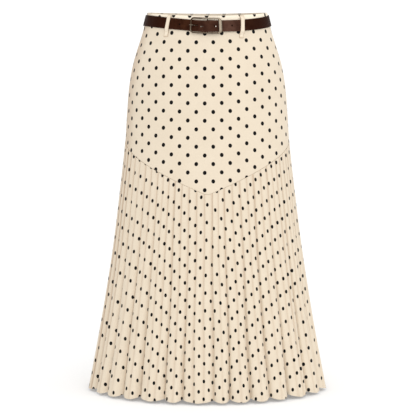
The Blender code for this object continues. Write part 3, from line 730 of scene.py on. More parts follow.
# %% Panels of the yoke
NECK_TOP = 9.0 * MM           # the slider's neck comes out here, below the edge
NECK_HEIGHT = 5.0 * MM
NECK_HALF_WIDTH = 0.8 * MM
NECK_EASE = 2.0 * MM
YOKE_ROWS = 96
# Painted light: within this reach below the top edge the cloth is painted paler, where it would lie in
# shade.
TOP_LIGHT_DEPTH = 8.0 * MM       # how far the top edge is turned in
FAR_SIDE = 0.87               # sine of the angle at which the left side begins to fall into shade


def edge_rows(count, crowd=1.35):
    """Shares from 0 to 1 that crowd towards both ends."""
    t = np.linspace(-1.0, 1.0, count)
    return 0.5 + 0.5 * np.sign(t) * (1.0 - (1.0 - np.abs(t)) ** crowd)


def near_edge(distance, reach):
    """1 at an edge and 0 from a reach away."""
    return np.clip(1.0 - distance / reach, 0.0, 1.0)


def build_yoke(name, first_deg, last_deg, columns, notch_side=0):
    """A panel from its first to its last edge, between the top edge and the seam. The grid's
    last rows roll in over the seam, and the centre back edges part round the slider's neck."""
    share = edge_rows(YOKE_ROWS)
    opening = 0.0 * share
    if notch_side:
        low = NECK_TOP + NECK_HEIGHT
        notch = np.array((NECK_TOP - NECK_EASE, NECK_TOP - SEAM_GAP, low + SEAM_GAP, low + NECK_EASE))
        notch = notch / SIDE_SEAM_DROP
        share = np.sort(np.concatenate([share, notch]))
        inside = np.interp(share, notch, (0.0, 1.0, 1.0, 0.0), left=0.0, right=0.0)
        opening = inside * (NECK_HALF_WIDTH + 0.5 * SEAM_GAP) / RINGS[0, 1]
    across = np.linspace(0.0, 1.0, columns)[None, :]
    start = (math.radians(first_deg) + SEAM_ANGLE + (notch_side < 0) * opening)[:, None]
    end = (math.radians(last_deg) - SEAM_ANGLE - (notch_side > 0) * opening)[:, None]
    angle = start * (1.0 - across) + end * across
    top = top_drop(angle)
    low = seam_drop(angle) - 0.5 * SEAM_GAP
    drop = top + share[:, None] * (low - top)
    to_seam, to_top = low - drop, drop - top
    roll = 0.3 * MM * near_edge(to_seam, ROLL) ** 2 + 0.35 * MM * near_edge(to_top, ROLL) ** 2
    base, out = cloth_point(angle, drop), level_out(angle, drop)
    creases = soft_creases(angle, drop)
    outer = base - out * (roll + creases + belt_press(drop))[..., None]
    inner = base - out * (0.95 * CLOTH + creases)[..., None]
    numbers = yoke_diagonals(angle, drop)
    # Painted shade: a thin line along the seam, and the left side darkened where it turns away from the
    # light.
    shade = 0.16 * near_edge(to_seam, 1.6 * MM) ** 1.5
    shade = shade + 0.62 * smooth_step((-np.sin(angle) - FAR_SIDE) / (1.0 - FAR_SIDE))
    # Painted light near the top edge, where the belt and the inside of the waist would shade the cloth.
    top_light = 0.95 * (1.0 - smooth_step((to_top - TOP_LIGHT_DEPTH) / (6.0 * MM)))
    return add_panel(name, outer, inner, arc_from_middle(angle, drop), drop, numbers,
                     square_millimetres(*numbers, base, *YOKE_DOT), shade, top_light, 50.0)


yoke_front = build_yoke("yoke_front_cloth", -90.0, 90.0, 241)
yoke_back_right = build_yoke("yoke_back_right_cloth", 90.0, 180.0, 121, notch_side=1)
yoke_back_left = build_yoke("yoke_back_left_cloth", -180.0, -90.0, 121, notch_side=-1)

# %% [markdown]
# ## The pleats
#
# The flounce is a wide piece of cloth, pressed into narrow pleats and sewn under the yoke. On
# the real skirt a pleating machine sets the folds; below the hips they swing out and gather by
# twos and threes into soft flutes, which scallop the hem. Cloth simulation would need a very
# fine mesh to keep pressed folds, so they are worked out instead: each pleat rises steeply like
# a knife pleat and falls gently, and each flute is a second, deeper wave that grows towards the
# hem. The folds wander a little and differ in depth.

# %% Columns of the pleats
FLUTES = (
    # ends_at_deg, pleats, depth_share: from the left side seam over the front to the right one
    (-70.0, 3, 1.00),
    (-58.0, 2, 0.80),
    (-45.7, 2, 0.95),
    (-34.4, 2, 1.10),
    (-21.2, 3, 0.90),
    (-11.7, 2, 1.00),
    (3.2, 3, 0.85),
    (10.9, 2, 0.75),
    (21.6, 2, 1.05),
    (31.7, 2, 0.90),
    (43.6, 2, 1.00),
    (58.6, 3, 1.10),
    (73.0, 3, 0.90),
    (90.0, 3, 1.00),
)
PHASES = np.array((0.0, 0.02, 0.045, 0.075, 0.11, 0.16, 0.24, 0.36, 0.50, 0.64, 0.75, 0.83, 0.89,
                   0.935, 0.97))
PLEAT_STEEP = 0.13            # share of a pleat over which it rises from its fold
PLEAT_GENTLE = 0.30           # and over which it falls to the next one
FLUTE_ROUNDNESS = 0.85


def pleat_height(phase, widen):
    """Height of a pleat from its inner fold: it rises steeply, slopes a little over its flat
    panel and falls gently to the next fold."""
    rise = smooth_step(phase / (PLEAT_STEEP * widen))
    fall = smooth_step((1.0 - phase) / (PLEAT_GENTLE * widen))
    return rise * fall * (1.0 - 0.16 * phase)


def fold_strength(number, between_flutes):
    """How deep a fold is: all of it between two flutes, about half inside a flute, and no two
    alike."""
    beat = math.sin(2.4 * number) * math.sin(0.73 * number + 1.0)
    return 0.86 + 0.14 * beat if between_flutes else 0.58 + 0.26 * beat


def pleat_columns():
    """For each column of a panel: angle, phase, pleat number, strength of the nearest fold,
    bulge of its flute and that flute's depth share."""
    rows = []
    begin, pleat = -90.0, 0
    for flute_end, pleats, depth_share in FLUTES:
        width = (flute_end - begin) / pleats
        for k in range(pleats):
            before, after = fold_strength(pleat, k == 0), fold_strength(pleat + 1, k == pleats - 1)
            bulge = np.sin(math.pi * (k + PHASES) / pleats) ** FLUTE_ROUNDNESS
            rows.append(np.stack(np.broadcast_arrays(
                begin + (k + PHASES) * width, PHASES, pleat, np.where(PHASES < 0.5, before, after),
                bulge, depth_share)))
            pleat += 1
        begin = flute_end
    rows.append(np.array([[begin], [1.0], [pleat - 1.0], [1.0], [0.0], [1.0]]))
    return np.concatenate(rows, axis=1)


print("pleats in a panel:", sum(flute[1] for flute in FLUTES), " flutes:", len(FLUTES))

# %% Walls and print of the pleats


def inner_side(outer, end_out, thick):
    """The inner grid: each ring moved in, square to its own zigzag as seen from above, and the
    two ends straight in."""
    step = unit(np.diff(outer[..., :2], axis=1))
    side = np.stack([step[..., 1], -step[..., 0]], axis=-1)
    middle = side[:, :-1] + side[:, 1:]
    middle = 2.0 * middle / np.sum(middle * middle, axis=-1, keepdims=True)
    inner = outer.copy()
    inner[:, 1:-1, :2] -= thick * middle
    for column in (0, -1):
        inner[:, column] -= thick * end_out[:, column]
    return inner


def sideways_on_cloth(turned, drop, points, pleat):
    """Distance sideways for the print. At each fold it is the half width times the sine of the
    angle, which runs on straight past 65 degrees; within a pleat it grows with the length of
    cloth, so that dots aren't stretched on the steep sides."""
    limit = math.radians(65.0)
    held = np.clip(turned, -limit, limit)
    reach = ring_sizes(drop)[0] * (np.sin(held) + math.cos(limit) * (turned - held))
    length = np.stack([running_length(row) for row in points])
    folds = np.concatenate([[0], np.nonzero(np.diff(pleat))[0] + 1, [len(pleat) - 1]])
    rows = [np.interp(length[r], length[r, folds], reach[r, folds]) for r in range(len(points))]
    return np.stack(rows), length


def fold_shade(phase, strength, share, body):
    """Painted shade of the folds: a thin line at each and a softer one round it, both stronger near
    the seam and on the left side, away from the light, where a little painted shade also covers
    the whole cloth."""
    to_fold = np.minimum(phase, 0.55 * (1.0 - phase))
    line = 0.5 + 0.5 * strength
    left_shade = smooth_step((-np.sin(body) - 0.86) / 0.12)
    near, far = to_fold / (0.06 + 0.05 * left_shade), to_fold / (0.18 + 0.04 * left_shade)
    fold = (0.32 + 0.50 * left_shade) * line * bell(near) + 0.16 * line * bell(far)
    fold = fold * (1.45 - 0.75 * share) * (1.0 + 0.9 * left_shade) + 0.06 * left_shade
    return np.clip(fold, 0.0, 1.0)


# %% Build the pleats
PLEAT_PROUD = 0.6 * MM
PLEAT_DEPTH_SEAM = 1.4 * MM
PLEAT_DEPTH_HEM = 4.0 * MM
FLUTE_DEPTH_HEM = 11.0 * MM
FLUTE_GROWTH = 1.7            # power of the share down the flounce
WANDER_DEG = 0.34             # how far folds wander sideways, halfway down and at the hem
WANDER_HEM_DEG = 0.16
HEM_LIFT = 5.5 * MM
PLEAT_ROWS = 90
PLEAT_CLOTH = 0.7 * MM


def build_pleats(name, turn_deg):
    """A pleated panel: the cloth pushed in between the crests of its pleats, and deeper between
    its flutes, from the seam to the hem."""
    degrees, phase, pleat, strength, bulge, depth_share = pleat_columns()
    place = pleat + phase
    share = np.linspace(0.0, 1.0, PLEAT_ROWS)[:, None] ** 0.92
    wander = WANDER_DEG * np.sin(0.9 * place + 5.0 * share + turn_deg) * np.sin(math.pi * share) ** 0.8
    wander = wander + WANDER_HEM_DEG * np.sin(2.3 * place + 11.0 * share) * share
    ends = np.minimum((degrees + 90.0) / 5.0, (90.0 - degrees) / 5.0)
    turned = np.radians(degrees + wander * np.clip(ends, 0.0, 1.0))
    turned[:, 0] += SEAM_ANGLE
    turned[:, -1] -= SEAM_ANGLE
    body = turned + math.radians(turn_deg)
    body = (body + math.pi) % (2.0 * math.pi) - math.pi
    top = seam_drop(body) + 0.5 * SEAM_GAP
    drop = top + share * (HEM_DROP - HEM_LIFT * depth_share * (1.0 - bulge) - top)
    out = level_out(body, drop)
    height = pleat_height(phase, 1.0 + 0.7 * share)
    uneven = strength * (1.0 + 0.22 * np.sin(1.1 * place + 4.0 * share + 0.6 + turn_deg))
    pleat_depth = PLEAT_DEPTH_SEAM + share * (PLEAT_DEPTH_HEM - PLEAT_DEPTH_SEAM)
    flute_depth = FLUTE_DEPTH_HEM * share**FLUTE_GROWTH
    push = PLEAT_PROUD - pleat_depth * uneven * (1.0 - height)
    push = push - flute_depth * depth_share * (1.0 - bulge)
    outer = cloth_point(body, drop) + out * push[..., None]
    sideways, length = sideways_on_cloth(turned, drop, outer, pleat)
    numbers = pleat_diagonals(sideways, drop)
    to_side = smooth_step((np.abs(np.sin(body)) - 0.62) / 0.34)
    shrink = PLEAT_DOT[0] + (SIDE_DOT - PLEAT_DOT[0]) * to_side
    piece = add_panel(name, outer, inner_side(outer, out, PLEAT_CLOTH), length, drop, numbers,
                      square_millimetres(*numbers, outer, shrink, PLEAT_DOT[1]),
                      fold_shade(phase, strength, share, body), 0.0 * drop, 70.0)
    return piece, float(length[-1, -1])


pleats_front, front_cut = build_pleats("pleats_front_cloth", 0.0)
pleats_back, back_cut = build_pleats("pleats_back_cloth", 180.0)

# %% [markdown]
# ## The belt line
#
# The belt lies along a line of its own: level behind, a little lower in front, where it sags and
# slants. Everything on it is placed by three distances: along that line from the centre front,
# out from the cloth and up across the belt. This keeps strap, buckle and prong together, as a
# belt maker lays them out flat on the bench before the belt is bent round the waist.

# %% Places along the belt
BELT_HEIGHT = 23.0 * MM
BELT_THICK = 1.8 * MM
BELT_GAP = 0.5 * MM
LEATHER_GAP = 0.3 * MM
BELT_OUT = BELT_GAP + 0.5 * BELT_THICK
DOUBLED_OUT = BELT_OUT + BELT_THICK + LEATHER_GAP
BELT_DROP = 16.1 * MM
BELT_SAG = 4.0 * MM
BELT_SLANT = 1.8 * MM


def belt_drop(angle):
    """Drop of the belt's centre line: it sags by the square of the cosine in front and slants
    by the sine times the cosine."""
    front = np.clip(np.cos(angle), 0.0, None)
    slant = 2.0 * BELT_SLANT * np.sin(angle) * front
    return top_drop(angle) + BELT_DROP + BELT_SAG * front**2 + slant


belt_angles = np.radians(np.linspace(-180.0, 180.0, 1441))
belt_along = running_length(cloth_point(belt_angles, belt_drop(belt_angles)))
belt_along = belt_along - np.interp(0.0, belt_angles, belt_along)
BELT_ROUND = belt_along[-1] - belt_along[0]
print("round the waist in mm:", round(1000 * BELT_ROUND))


def belt_place(along, out, up):
    """Point that lies along the belt line, out from the cloth and up across the belt."""
    along = (along - belt_along[0]) % BELT_ROUND + belt_along[0]
    angle = np.interp(along, belt_along, belt_angles)
    drop = belt_drop(angle)
    return (cloth_point(angle, drop) + cloth_out(angle, drop) * np.asarray(out)[..., None]
            + cloth_up(angle, drop) * np.asarray(up)[..., None])


def smooth_route(knots, step):
    """A smooth curve through the rows of knots, read at even steps of its length."""
    knots = np.asarray(knots, dtype=float)
    length = running_length(knots[:, :2])
    return curve_through(length, knots, np.linspace(0.0, length[-1], max(2, round(length[-1] / step)) + 1))


# %% [markdown]
# ## Leather and worn metal
#
# The strap is dark brown leather with a fine pebble grain: cells of a Voronoi texture with soft
# valleys, over a slower noise for the areas that handling has polished. It reads a UV map in
# metres along and across the strap, so the grain follows the bends. Values on its points add
# rubbed edges, a painted sheen, painted shade round the sides and painted glints beside two
# holes. The metal is dark antiqued bronze whose raised edges have worn to a silvery tone. How
# exposed an edge is comes from the profile itself, as a value on each point, and noise breaks it
# up; on the prong the same value stays low back to the slot, as painted shade under the tail.

# %% Leather
LEATHER_DARK = (0.0185, 0.0041, 0.0011, 1.0)
LEATHER_WARM = (0.044, 0.0140, 0.0054, 1.0)
LEATHER_WEAR_AND_SHEEN = (0.112, 0.056, 0.040, 1.0)
RAW_LEATHER_GLINT = (0.80, 0.72, 0.62, 1.0)
CRACKED_RIM_GLINTS = (
    # along the belt, up, radius in mm, share: pale raw leather where the coat has cracked off beside two
    # holes, made bright as a painted glint
    (-0.0120, -0.0013, 1.2, 0.30),
    (0.0166, -0.0006, 1.4, 1.00),
)


def make_grain_group():
    """Pebble grain: each cell is a low dome, its edges are valleys, and fine pores sit on it."""
    group, given, out = new_group("leather_grain", {"Place": "Vector"},
                                  {"Height": "Float", "Polish": "Float"})
    place = given["Place"]
    cells = add_node(group.nodes, "TexVoronoi", {"Vector": place, "Scale": 1100.0},
                     feature="DISTANCE_TO_EDGE")
    domes = remap(Flow(cells.outputs["Distance"]), 0.0, 0.25)
    join(noise(place, 2600.0) * 0.25 + domes + noise(place, 320.0, 3.0, 0.55) * 1.2, out["Height"])
    join(remap(noise(place, 60.0, 4.0, 0.6), 0.38, 0.66), out["Polish"])
    return group


GRAIN = make_grain_group()


def make_leather():
    """Brown leather: darker in the grain's valleys and where painted shade lies round the sides,
    lighter where it is rubbed and where a painted sheen lies, with painted glints beside two holes.
    """
    finish, nodes, shader = new_finish("belt_leather", {"Specular IOR Level": 0.03})
    grain = place_group(nodes, GRAIN, Place=read_map(nodes, "strap"))
    height, polish, rubbed = grain["Height"], grain["Polish"], read_attribute(nodes, "rubbed")
    colour = mix_colour(polish, LEATHER_DARK, LEATHER_WARM)
    # Lighter where the edges are rubbed, and painted sheen where the value says so.
    colour = mix_colour(rubbed * (polish * 0.5 + 0.5), colour, LEATHER_WEAR_AND_SHEEN)
    # The deep value adds painted shade round the sides of the waist to the grain's darker valleys.
    valley_and_shade = remap(height, 0.2, 1.5, 0.25, 0.0).math("MAXIMUM", read_attribute(nodes, "deep"))
    colour = mix_colour(valley_and_shade, colour, LEATHER_DARK)
    bench = read_map(nodes, "bench")
    # Painted glints: pale spots of raw leather beside two holes, bright as light catching their rims.
    for along, up, radius, pale_share in CRACKED_RIM_GLINTS:
        gap = add_node(nodes, "VectorMath", {0: bench, 1: (along, up, 0.0)}, operation="DISTANCE")
        glint_spot = remap(Flow(gap.outputs["Value"]), 0.55 * radius * MM, radius * MM, pale_share, 0.0)
        colour = mix_colour(glint_spot, colour, RAW_LEATHER_GLINT)
    paint(shader, colour, polish * -0.12 + 0.52 + rubbed * -0.10, height, 0.10 * MM, 0.6)
    return finish


LEATHER = make_leather()

# %% Worn metal
BRONZE_DARK = (0.030, 0.019, 0.012, 1.0)
BRONZE = (0.098, 0.061, 0.038, 1.0)
WORN_SILVER = (0.215, 0.177, 0.134, 1.0)


def make_metal():
    """Antiqued bronze, brighter and smoother where an edge is worn, and plain dark where the value paints
    shade.
    """
    finish, nodes, shader = new_finish("buckle_metal", {"Metallic": 1.0})
    place = read_place(nodes)
    patina = remap(noise(place, 420.0, 4.0, 0.6), 0.35, 0.65)
    broken = noise(place, 800.0, 3.0, 0.6) * 1.1 - 0.55
    pale_share = remap(read_attribute(nodes, "worn") + broken, 0.30, 0.80)
    colour = mix_colour(pale_share, mix_colour(patina, BRONZE_DARK, BRONZE), WORN_SILVER)
    scratched = noise(place, 3000.0) * 0.4 + patina
    paint(shader, colour, patina * 0.14 + 0.30 + pale_share * -0.10, scratched, 0.03 * MM, 0.4)
    return finish


METAL = make_metal()
print("leather and metal:", LEATHER.name, METAL.name)

# %% [markdown]
# ## The strap
#
# One long strip of leather. It starts behind the buckle's inner bar, folds round it, runs once
# round the waist through the loops, and comes back on top of itself as the tail: under the
# frame's left bar, over the inner bar, under the wide right bar and on to the right front loop,
# which hides its end. A flat section with rounded edges is carried along that route. Holes and
# the prong's slot are punched with Booleans, which are applied at once, so no punch stays.

# %% Route of the strap
BAR_PLACE = 0.5 * MM
BAR_OUT = 3.1 * MM
BAR_RADIUS = 1.0 * MM
FOLD_THICK = 1.2 * MM
FOLD_LENGTH = 10.0 * MM
PULL_THICK = 0.9 * MM
ZIP_BUMP = 16.0 * MM
TAIL_START = -0.051
TAIL_END_DEG = 34.6
TAIL_ROUTE = np.array([
    # along from the centre front, out: under the left bar, over the inner bar, under the right
    (-0.055, BELT_OUT),
    (-0.044, BELT_OUT),
    (-0.034, BELT_OUT + 0.1 * MM),
    (-0.030, 1.8 * MM),
    (-0.026, 2.75 * MM),
    (-0.018, 5.0 * MM),
    (-0.011, 6.05 * MM),
    (-0.006, 6.6 * MM),
    (BAR_PLACE, 7.1 * MM),
    (BAR_PLACE + 0.005, 6.9 * MM),
    (BAR_PLACE + 0.010, 5.95 * MM),
    (BAR_PLACE + 0.017, 3.95 * MM),
    (BAR_PLACE + 0.023, DOUBLED_OUT + 0.1 * MM),
    (0.048, DOUBLED_OUT),
])


def strap_route():
    """Rows of (along, out, thickness) from the fold to the tip of the tail."""
    bend = BAR_RADIUS + LEATHER_GAP + 0.5 * FOLD_THICK
    fold = [(BAR_PLACE + FOLD_LENGTH, BAR_OUT - bend, FOLD_THICK)]
    fold += [(BAR_PLACE + bend * math.cos(a), BAR_OUT + bend * math.sin(a), FOLD_THICK)
             for a in np.radians(np.linspace(-90.0, -270.0, 9))]
    over_flap = BAR_OUT - bend + 0.5 * FOLD_THICK + LEATHER_GAP + 0.5 * BELT_THICK
    body = [(BAR_PLACE + 0.005, BAR_OUT + 0.85 * bend, 0.8 * BELT_THICK),
            (BAR_PLACE + FOLD_LENGTH, over_flap + 0.5 * MM, BELT_THICK),
            (BAR_PLACE + FOLD_LENGTH + 0.007, BELT_OUT, BELT_THICK)]
    stops = np.linspace(body[-1][0] + 0.005, BELT_ROUND + TAIL_START - 0.004, 64)
    lift = bell((stops - 0.5 * BELT_ROUND) / ZIP_BUMP) * (SEAM_GAP + PULL_THICK + 2.0 * LEATHER_GAP)
    waist = [(s, BELT_OUT + rise, BELT_THICK) for s, rise in zip(stops, lift)]
    tail_end = float(np.interp(math.radians(TAIL_END_DEG), belt_angles, belt_along))
    stops = np.append(np.arange(TAIL_START, tail_end, 0.004), tail_end)
    tail = [(BELT_ROUND + s, np.interp(s, *TAIL_ROUTE.T), BELT_THICK) for s in stops]
    return np.array(fold + body + waist + tail)


def strap_section():
    """Half thicknesses and heights round the strap: flat flesh side, a grain side that is
    slightly domed, and edges that are quarter turns; and how rubbed each place is."""
    half = 0.5 * BELT_HEIGHT
    edge = 0.55 * MM
    wear = 1.4 * MM
    turn = np.radians(np.linspace(0.0, 90.0, 5))
    rise = np.linspace(-half + edge, half - edge, 13)[1:-1]
    section = np.concatenate([
        paired(1.0 + 0.10 * (1.0 - (rise / half) ** 2), rise),
        paired(np.cos(turn), half - edge + edge * np.sin(turn)),
        paired(-np.sin(turn), half - edge + edge * np.cos(turn))[1:],
        paired(-1.0, np.linspace(half - edge, edge - half, 5))[1:-1],
        paired(-np.cos(turn), edge - half - edge * np.sin(turn)),
        paired(np.sin(turn), edge - half - edge * np.cos(turn))[1:]])
    nearness = np.clip((np.abs(section[:, 1]) - half + wear) / wear, 0.0, 1.0)
    return section, nearness * (section[:, 0] > 0.0)


route = smooth_route(strap_route(), 1.6 * MM)
print("strap length in mm:", round(1000 * running_length(route[:, :2])[-1]))

# %% Punches
HOLE_RADIUS = 1.6 * MM
HOLES = (
    # along, from and to how far out: one under the tail's start, three in the tail
    (-0.0565, -0.2 * MM, 6.0 * MM),
    (-0.0098, 4.6 * MM, 8.0 * MM),
    (0.0146, 2.95 * MM, 8.0 * MM),
    (0.0494, 2.45 * MM, 6.0 * MM),
)
SLOTS = (
    # name, start, end, half height, from and to how far out: for the prong, in tail and fold
    ("tail_slot", -0.0270, -0.0185, 1.2 * MM, 1.0 * MM, 7.0 * MM),
    ("fold_slot", BAR_PLACE - 0.004, BAR_PLACE + 0.006, 1.7 * MM, 0.1 * MM, 5.85 * MM),
)
CREASE_DEPTH = 0.05 * MM
TAIL_DROOP = 1.4 * MM
DROOP_PLACE = -0.006
DROOP_REACH = 0.024


def tail_droop(place):
    """How low the tail hangs inside the frame: a bell along the belt line."""
    return TAIL_DROOP * bell((place - DROOP_PLACE) / DROOP_REACH)


def punch(name, along, up, low, high):
    """A closed block between two levels, whose outline is given along and up the belt."""
    rings = [belt_place(along, np.full(len(along), level), up) for level in (low, high)]
    return add_piece(name, np.stack(rings), tube_faces(2, len(along)), LEATHER)


def all_punches():
    """Round blocks for the holes and blocks with round ends for the slots."""
    turn = full_turn(28)
    blocks = [punch("hole", place + HOLE_RADIUS * np.cos(turn),
                    HOLE_RADIUS * np.sin(turn) - tail_droop(place), low, high)
              for place, low, high in HOLES]
    turn = np.radians(np.linspace(-90.0, 90.0, 9))
    for name, start, end, half, low, high in SLOTS:
        along = np.concatenate([end - half + half * np.cos(turn), start + half - half * np.cos(turn)])
        up = np.concatenate([half * np.sin(turn), -half * np.sin(turn)])
        blocks.append(punch(name, along, up, low, high))
    return blocks


def combine(piece, others, operation):
    """Cuts or joins other objects with a piece by exact Booleans, applies them and deletes the
    others."""
    for other in others:
        step = piece.modifiers.new(other.name, "BOOLEAN")
        step.operation, step.solver, step.object = operation, "EXACT", other
    finished = bpy.data.meshes.new_from_object(piece.evaluated_get(bpy.context.evaluated_depsgraph_get()))
    piece.modifiers.clear()
    piece.data = finished
    for other in others:
        bpy.data.objects.remove(other, do_unlink=True)


# %% Build the strap


def build_strap():
    """The section carried along the route. On the tail inside the frame and just right of the
    buckle the leather is painted lighter as a painted sheen, and its edges are rubbed lighter;
    small cross creases lie where it bends."""
    section, nearness = strap_section()
    thick_share, rise = section[None, :, 0], section[None, :, 1]
    along, out, thick = route.T
    side = side_of(route[:, :2])
    place = along - BELT_ROUND
    up = rise * (1.0 - 0.35 * near_edge((along[-1] - along)[:, None], 0.012) ** 2.2)
    up = up - tail_droop(place)[:, None]
    in_tail = np.clip((place - TAIL_START) / 0.01, 0.0, 1.0)
    crease = np.sin(2400.0 * along) * np.sin(530.0 * along + 1.0)
    shift = 0.5 * thick[:, None] * thick_share
    shift = shift + CREASE_DEPTH * (crease * in_tail)[:, None] * (thick_share > 0.5)
    points = belt_place(along[:, None] + side[:, :1] * shift, out[:, None] + side[:, 1:] * shift, up)
    strap_map = paired(running_length(route[:, :2])[:, None],
                       running_length(section * (0.5 * BELT_THICK, 1.0))[None, :])
    # Painted sheen on the tail, inside the frame and just right of the buckle.
    painted_sheen = 0.75 * bell((place - 0.046) / 0.022) + 0.25 * bell(place / 0.02)
    rubbed = np.clip(0.42 * nearness[None, :] + painted_sheen[:, None] * (thick_share > 0.0), 0.0, 1.0)
    round_waist = np.minimum(np.abs(along), np.abs(place))
    # Painted shade: the strap darkens from 6 cm round the waist on, both ways from the centre front, where
    # it turns away from the light.
    deep = 0.95 * smooth_step((round_waist - 0.060) / 0.05)[:, None] + 0.0 * up
    strap = add_piece("belt_strap_leather", points, tube_faces(*up.shape), LEATHER, sharp_deg=60.0,
                      maps={"strap": strap_map, "bench": paired(place[:, None], rise)},
                      values={"rubbed": rubbed, "deep": deep})
    combine(strap, all_punches(), "DIFFERENCE")
    return dress(strap, "belt_strap")


strap = build_strap()

# %% [markdown]
# ## The buckle
#
# A cast frame with a wide right bar, a thin bar inside it that the strap folds round, and a bent
# wire prong. The frame's ring is a profile carried round a rectangle with round corners; its
# section is a superellipse, flatter than a round wire, so its edges catch the light. The frame
# tilts: its left bar lies low on the strap and its right bar stands over the doubled leather.

# %% Outline of the frame
BUCKLE_LEFT = -0.0328
BUCKLE_RIGHT = 0.0258
BUCKLE_HALF_HEIGHT = 14.7 * MM
BUCKLE_CORNER = 6.0 * MM
BUCKLE_THIN = 1.45 * MM
BUCKLE_WIDE = 3.3 * MM
BUCKLE_HALF_THICK = 1.3 * MM
BUCKLE_OUT_LEFT = 4.1 * MM
BUCKLE_OUT_RIGHT = 6.4 * MM


def along_frame(along):
    """0 at the frame's left bar and 1 at its right one."""
    return (along - BUCKLE_LEFT) / (BUCKLE_RIGHT - BUCKLE_LEFT)


def buckle_out(along):
    """How far the frame's middle stands out from the cloth: a straight tilt."""
    return BUCKLE_OUT_LEFT + along_frame(along) * (BUCKLE_OUT_RIGHT - BUCKLE_OUT_LEFT)


def frame_outline(corner_steps, side_steps):
    """Closed outline in rows of (along, up): four quarter turns joined by straight sides."""
    right, left = BUCKLE_RIGHT - BUCKLE_CORNER, BUCKLE_LEFT + BUCKLE_CORNER
    top = BUCKLE_HALF_HEIGHT - BUCKLE_CORNER
    arcs = []
    for start_deg, x, y in ((0.0, right, top), (90.0, left, top), (180.0, left, -top), (270.0, right, -top)):
        turn = np.radians(start_deg + np.linspace(0.0, 90.0, corner_steps + 1))
        arcs.append(paired(x + BUCKLE_CORNER * np.cos(turn), y + BUCKLE_CORNER * np.sin(turn)))
    share = np.linspace(0.0, 1.0, side_steps + 1)[1:-1, None]
    sides = [arc[-1] + share * (after[0] - arc[-1]) for arc, after in zip(arcs, arcs[1:] + arcs[:1])]
    return np.concatenate([part for pair in zip(arcs, sides) for part in pair])


def superellipse(sides, power):
    """Unit section whose sines and cosines are raised to a power below 1."""
    c, s = np.cos(full_turn(sides)), np.sin(full_turn(sides))
    return np.sign(c) * np.abs(c) ** power, np.sign(s) * np.abs(s) ** power


def wire(name, along, out, up, radius, worn):
    """A round wire of the given radii along a route in the belt's distances."""
    path = np.stack(np.broadcast_arrays(along, out, up), axis=1)
    ahead = unit(np.gradient(path, axis=0))
    fixed = (1.0, 0.0, 0.0) if np.ptp(along) < MM else (0.0, 0.0, 1.0)
    first = unit(np.cross(ahead, fixed))
    turn = full_turn(16)[None, :, None]
    ring = first[:, None] * np.cos(turn) + np.cross(ahead, first)[:, None] * np.sin(turn)
    place = path[:, None] + ring * np.reshape(radius, (-1, 1, 1))
    points = belt_place(place[..., 0], place[..., 1], place[..., 2])
    return add_piece(name, points, tube_faces(*points.shape[:2]), METAL, sharp_deg=60.0,
                     values={"worn": np.reshape(worn, (-1, 1)) + np.zeros(points.shape[:2])})


# %% Build the frame and the prong
PRONG_RADIUS = 0.7 * MM
BAR_ARCH = [(BUCKLE_HALF_HEIGHT, buckle_out(BAR_PLACE)), (0.0144, 4.6 * MM), (0.0136, 3.5 * MM),
            (0.0127, BAR_OUT)]      # up and out, from the frame to the bar's level part
PRONG_BENDS = [(-0.0030, 4.8 * MM), (-0.0080, 4.1 * MM), (-0.0130, 3.4 * MM), (-0.0175, 2.85 * MM),
               (-0.0205, 2.8 * MM), (-0.0235, 3.6 * MM), (-0.0262, 5.0 * MM), (-0.0292, 6.2 * MM)]


def build_frame():
    """The ring, wider at its right bar, joined with the inner bar."""
    outline = frame_outline(12, 18)
    ahead = unit(np.roll(outline, -1, axis=0) - np.roll(outline, 1, axis=0))
    side = paired(ahead[:, 1], -ahead[:, 0])
    near_right = np.clip((outline[:, 0] - BUCKLE_RIGHT) / BUCKLE_CORNER + 1.0, 0.0, 1.0)
    half_width = BUCKLE_THIN + (BUCKLE_WIDE - BUCKLE_THIN) * near_right**2
    across, deep = superellipse(24, 0.72)
    place = outline[:, None] + side[:, None] * (half_width[:, None] * across)[..., None]
    points = belt_place(place[..., 0], buckle_out(outline[:, :1]) + BUCKLE_HALF_THICK * deep, place[..., 1])
    facing = np.clip(deep, 0.0, 1.0)
    at_top = smooth_step((outline[:, 1] / BUCKLE_HALF_HEIGHT + 0.2) / 0.8)
    to_right = smooth_step((along_frame(outline[:, 0]) - 0.26) / 0.22)
    rubbed = 0.42 + 0.5 * near_right + at_top * (0.55 * to_right - 0.5 * (1.0 - to_right))
    worn = np.clip((rubbed[:, None] + 0.18 * bell((np.abs(across) - 0.75) / 0.3)) * facing, 0.0, 1.0)
    frame_ring = add_piece("buckle_frame_metal", points, tube_faces(*worn.shape, closed=True), METAL,
                           values={"worn": worn}, sharp_deg=60.0)
    half = np.array(BAR_ARCH)
    path = smooth_route(np.concatenate([half, (half * (-1.0, 1.0))[::-1]]), 0.8 * MM)
    bar = wire("inner_bar", BAR_PLACE, path[:, 1], path[:, 0], BAR_RADIUS, 0.75)
    combine(frame_ring, [bar], "UNION")
    dress(frame_ring, "buckle_frame")


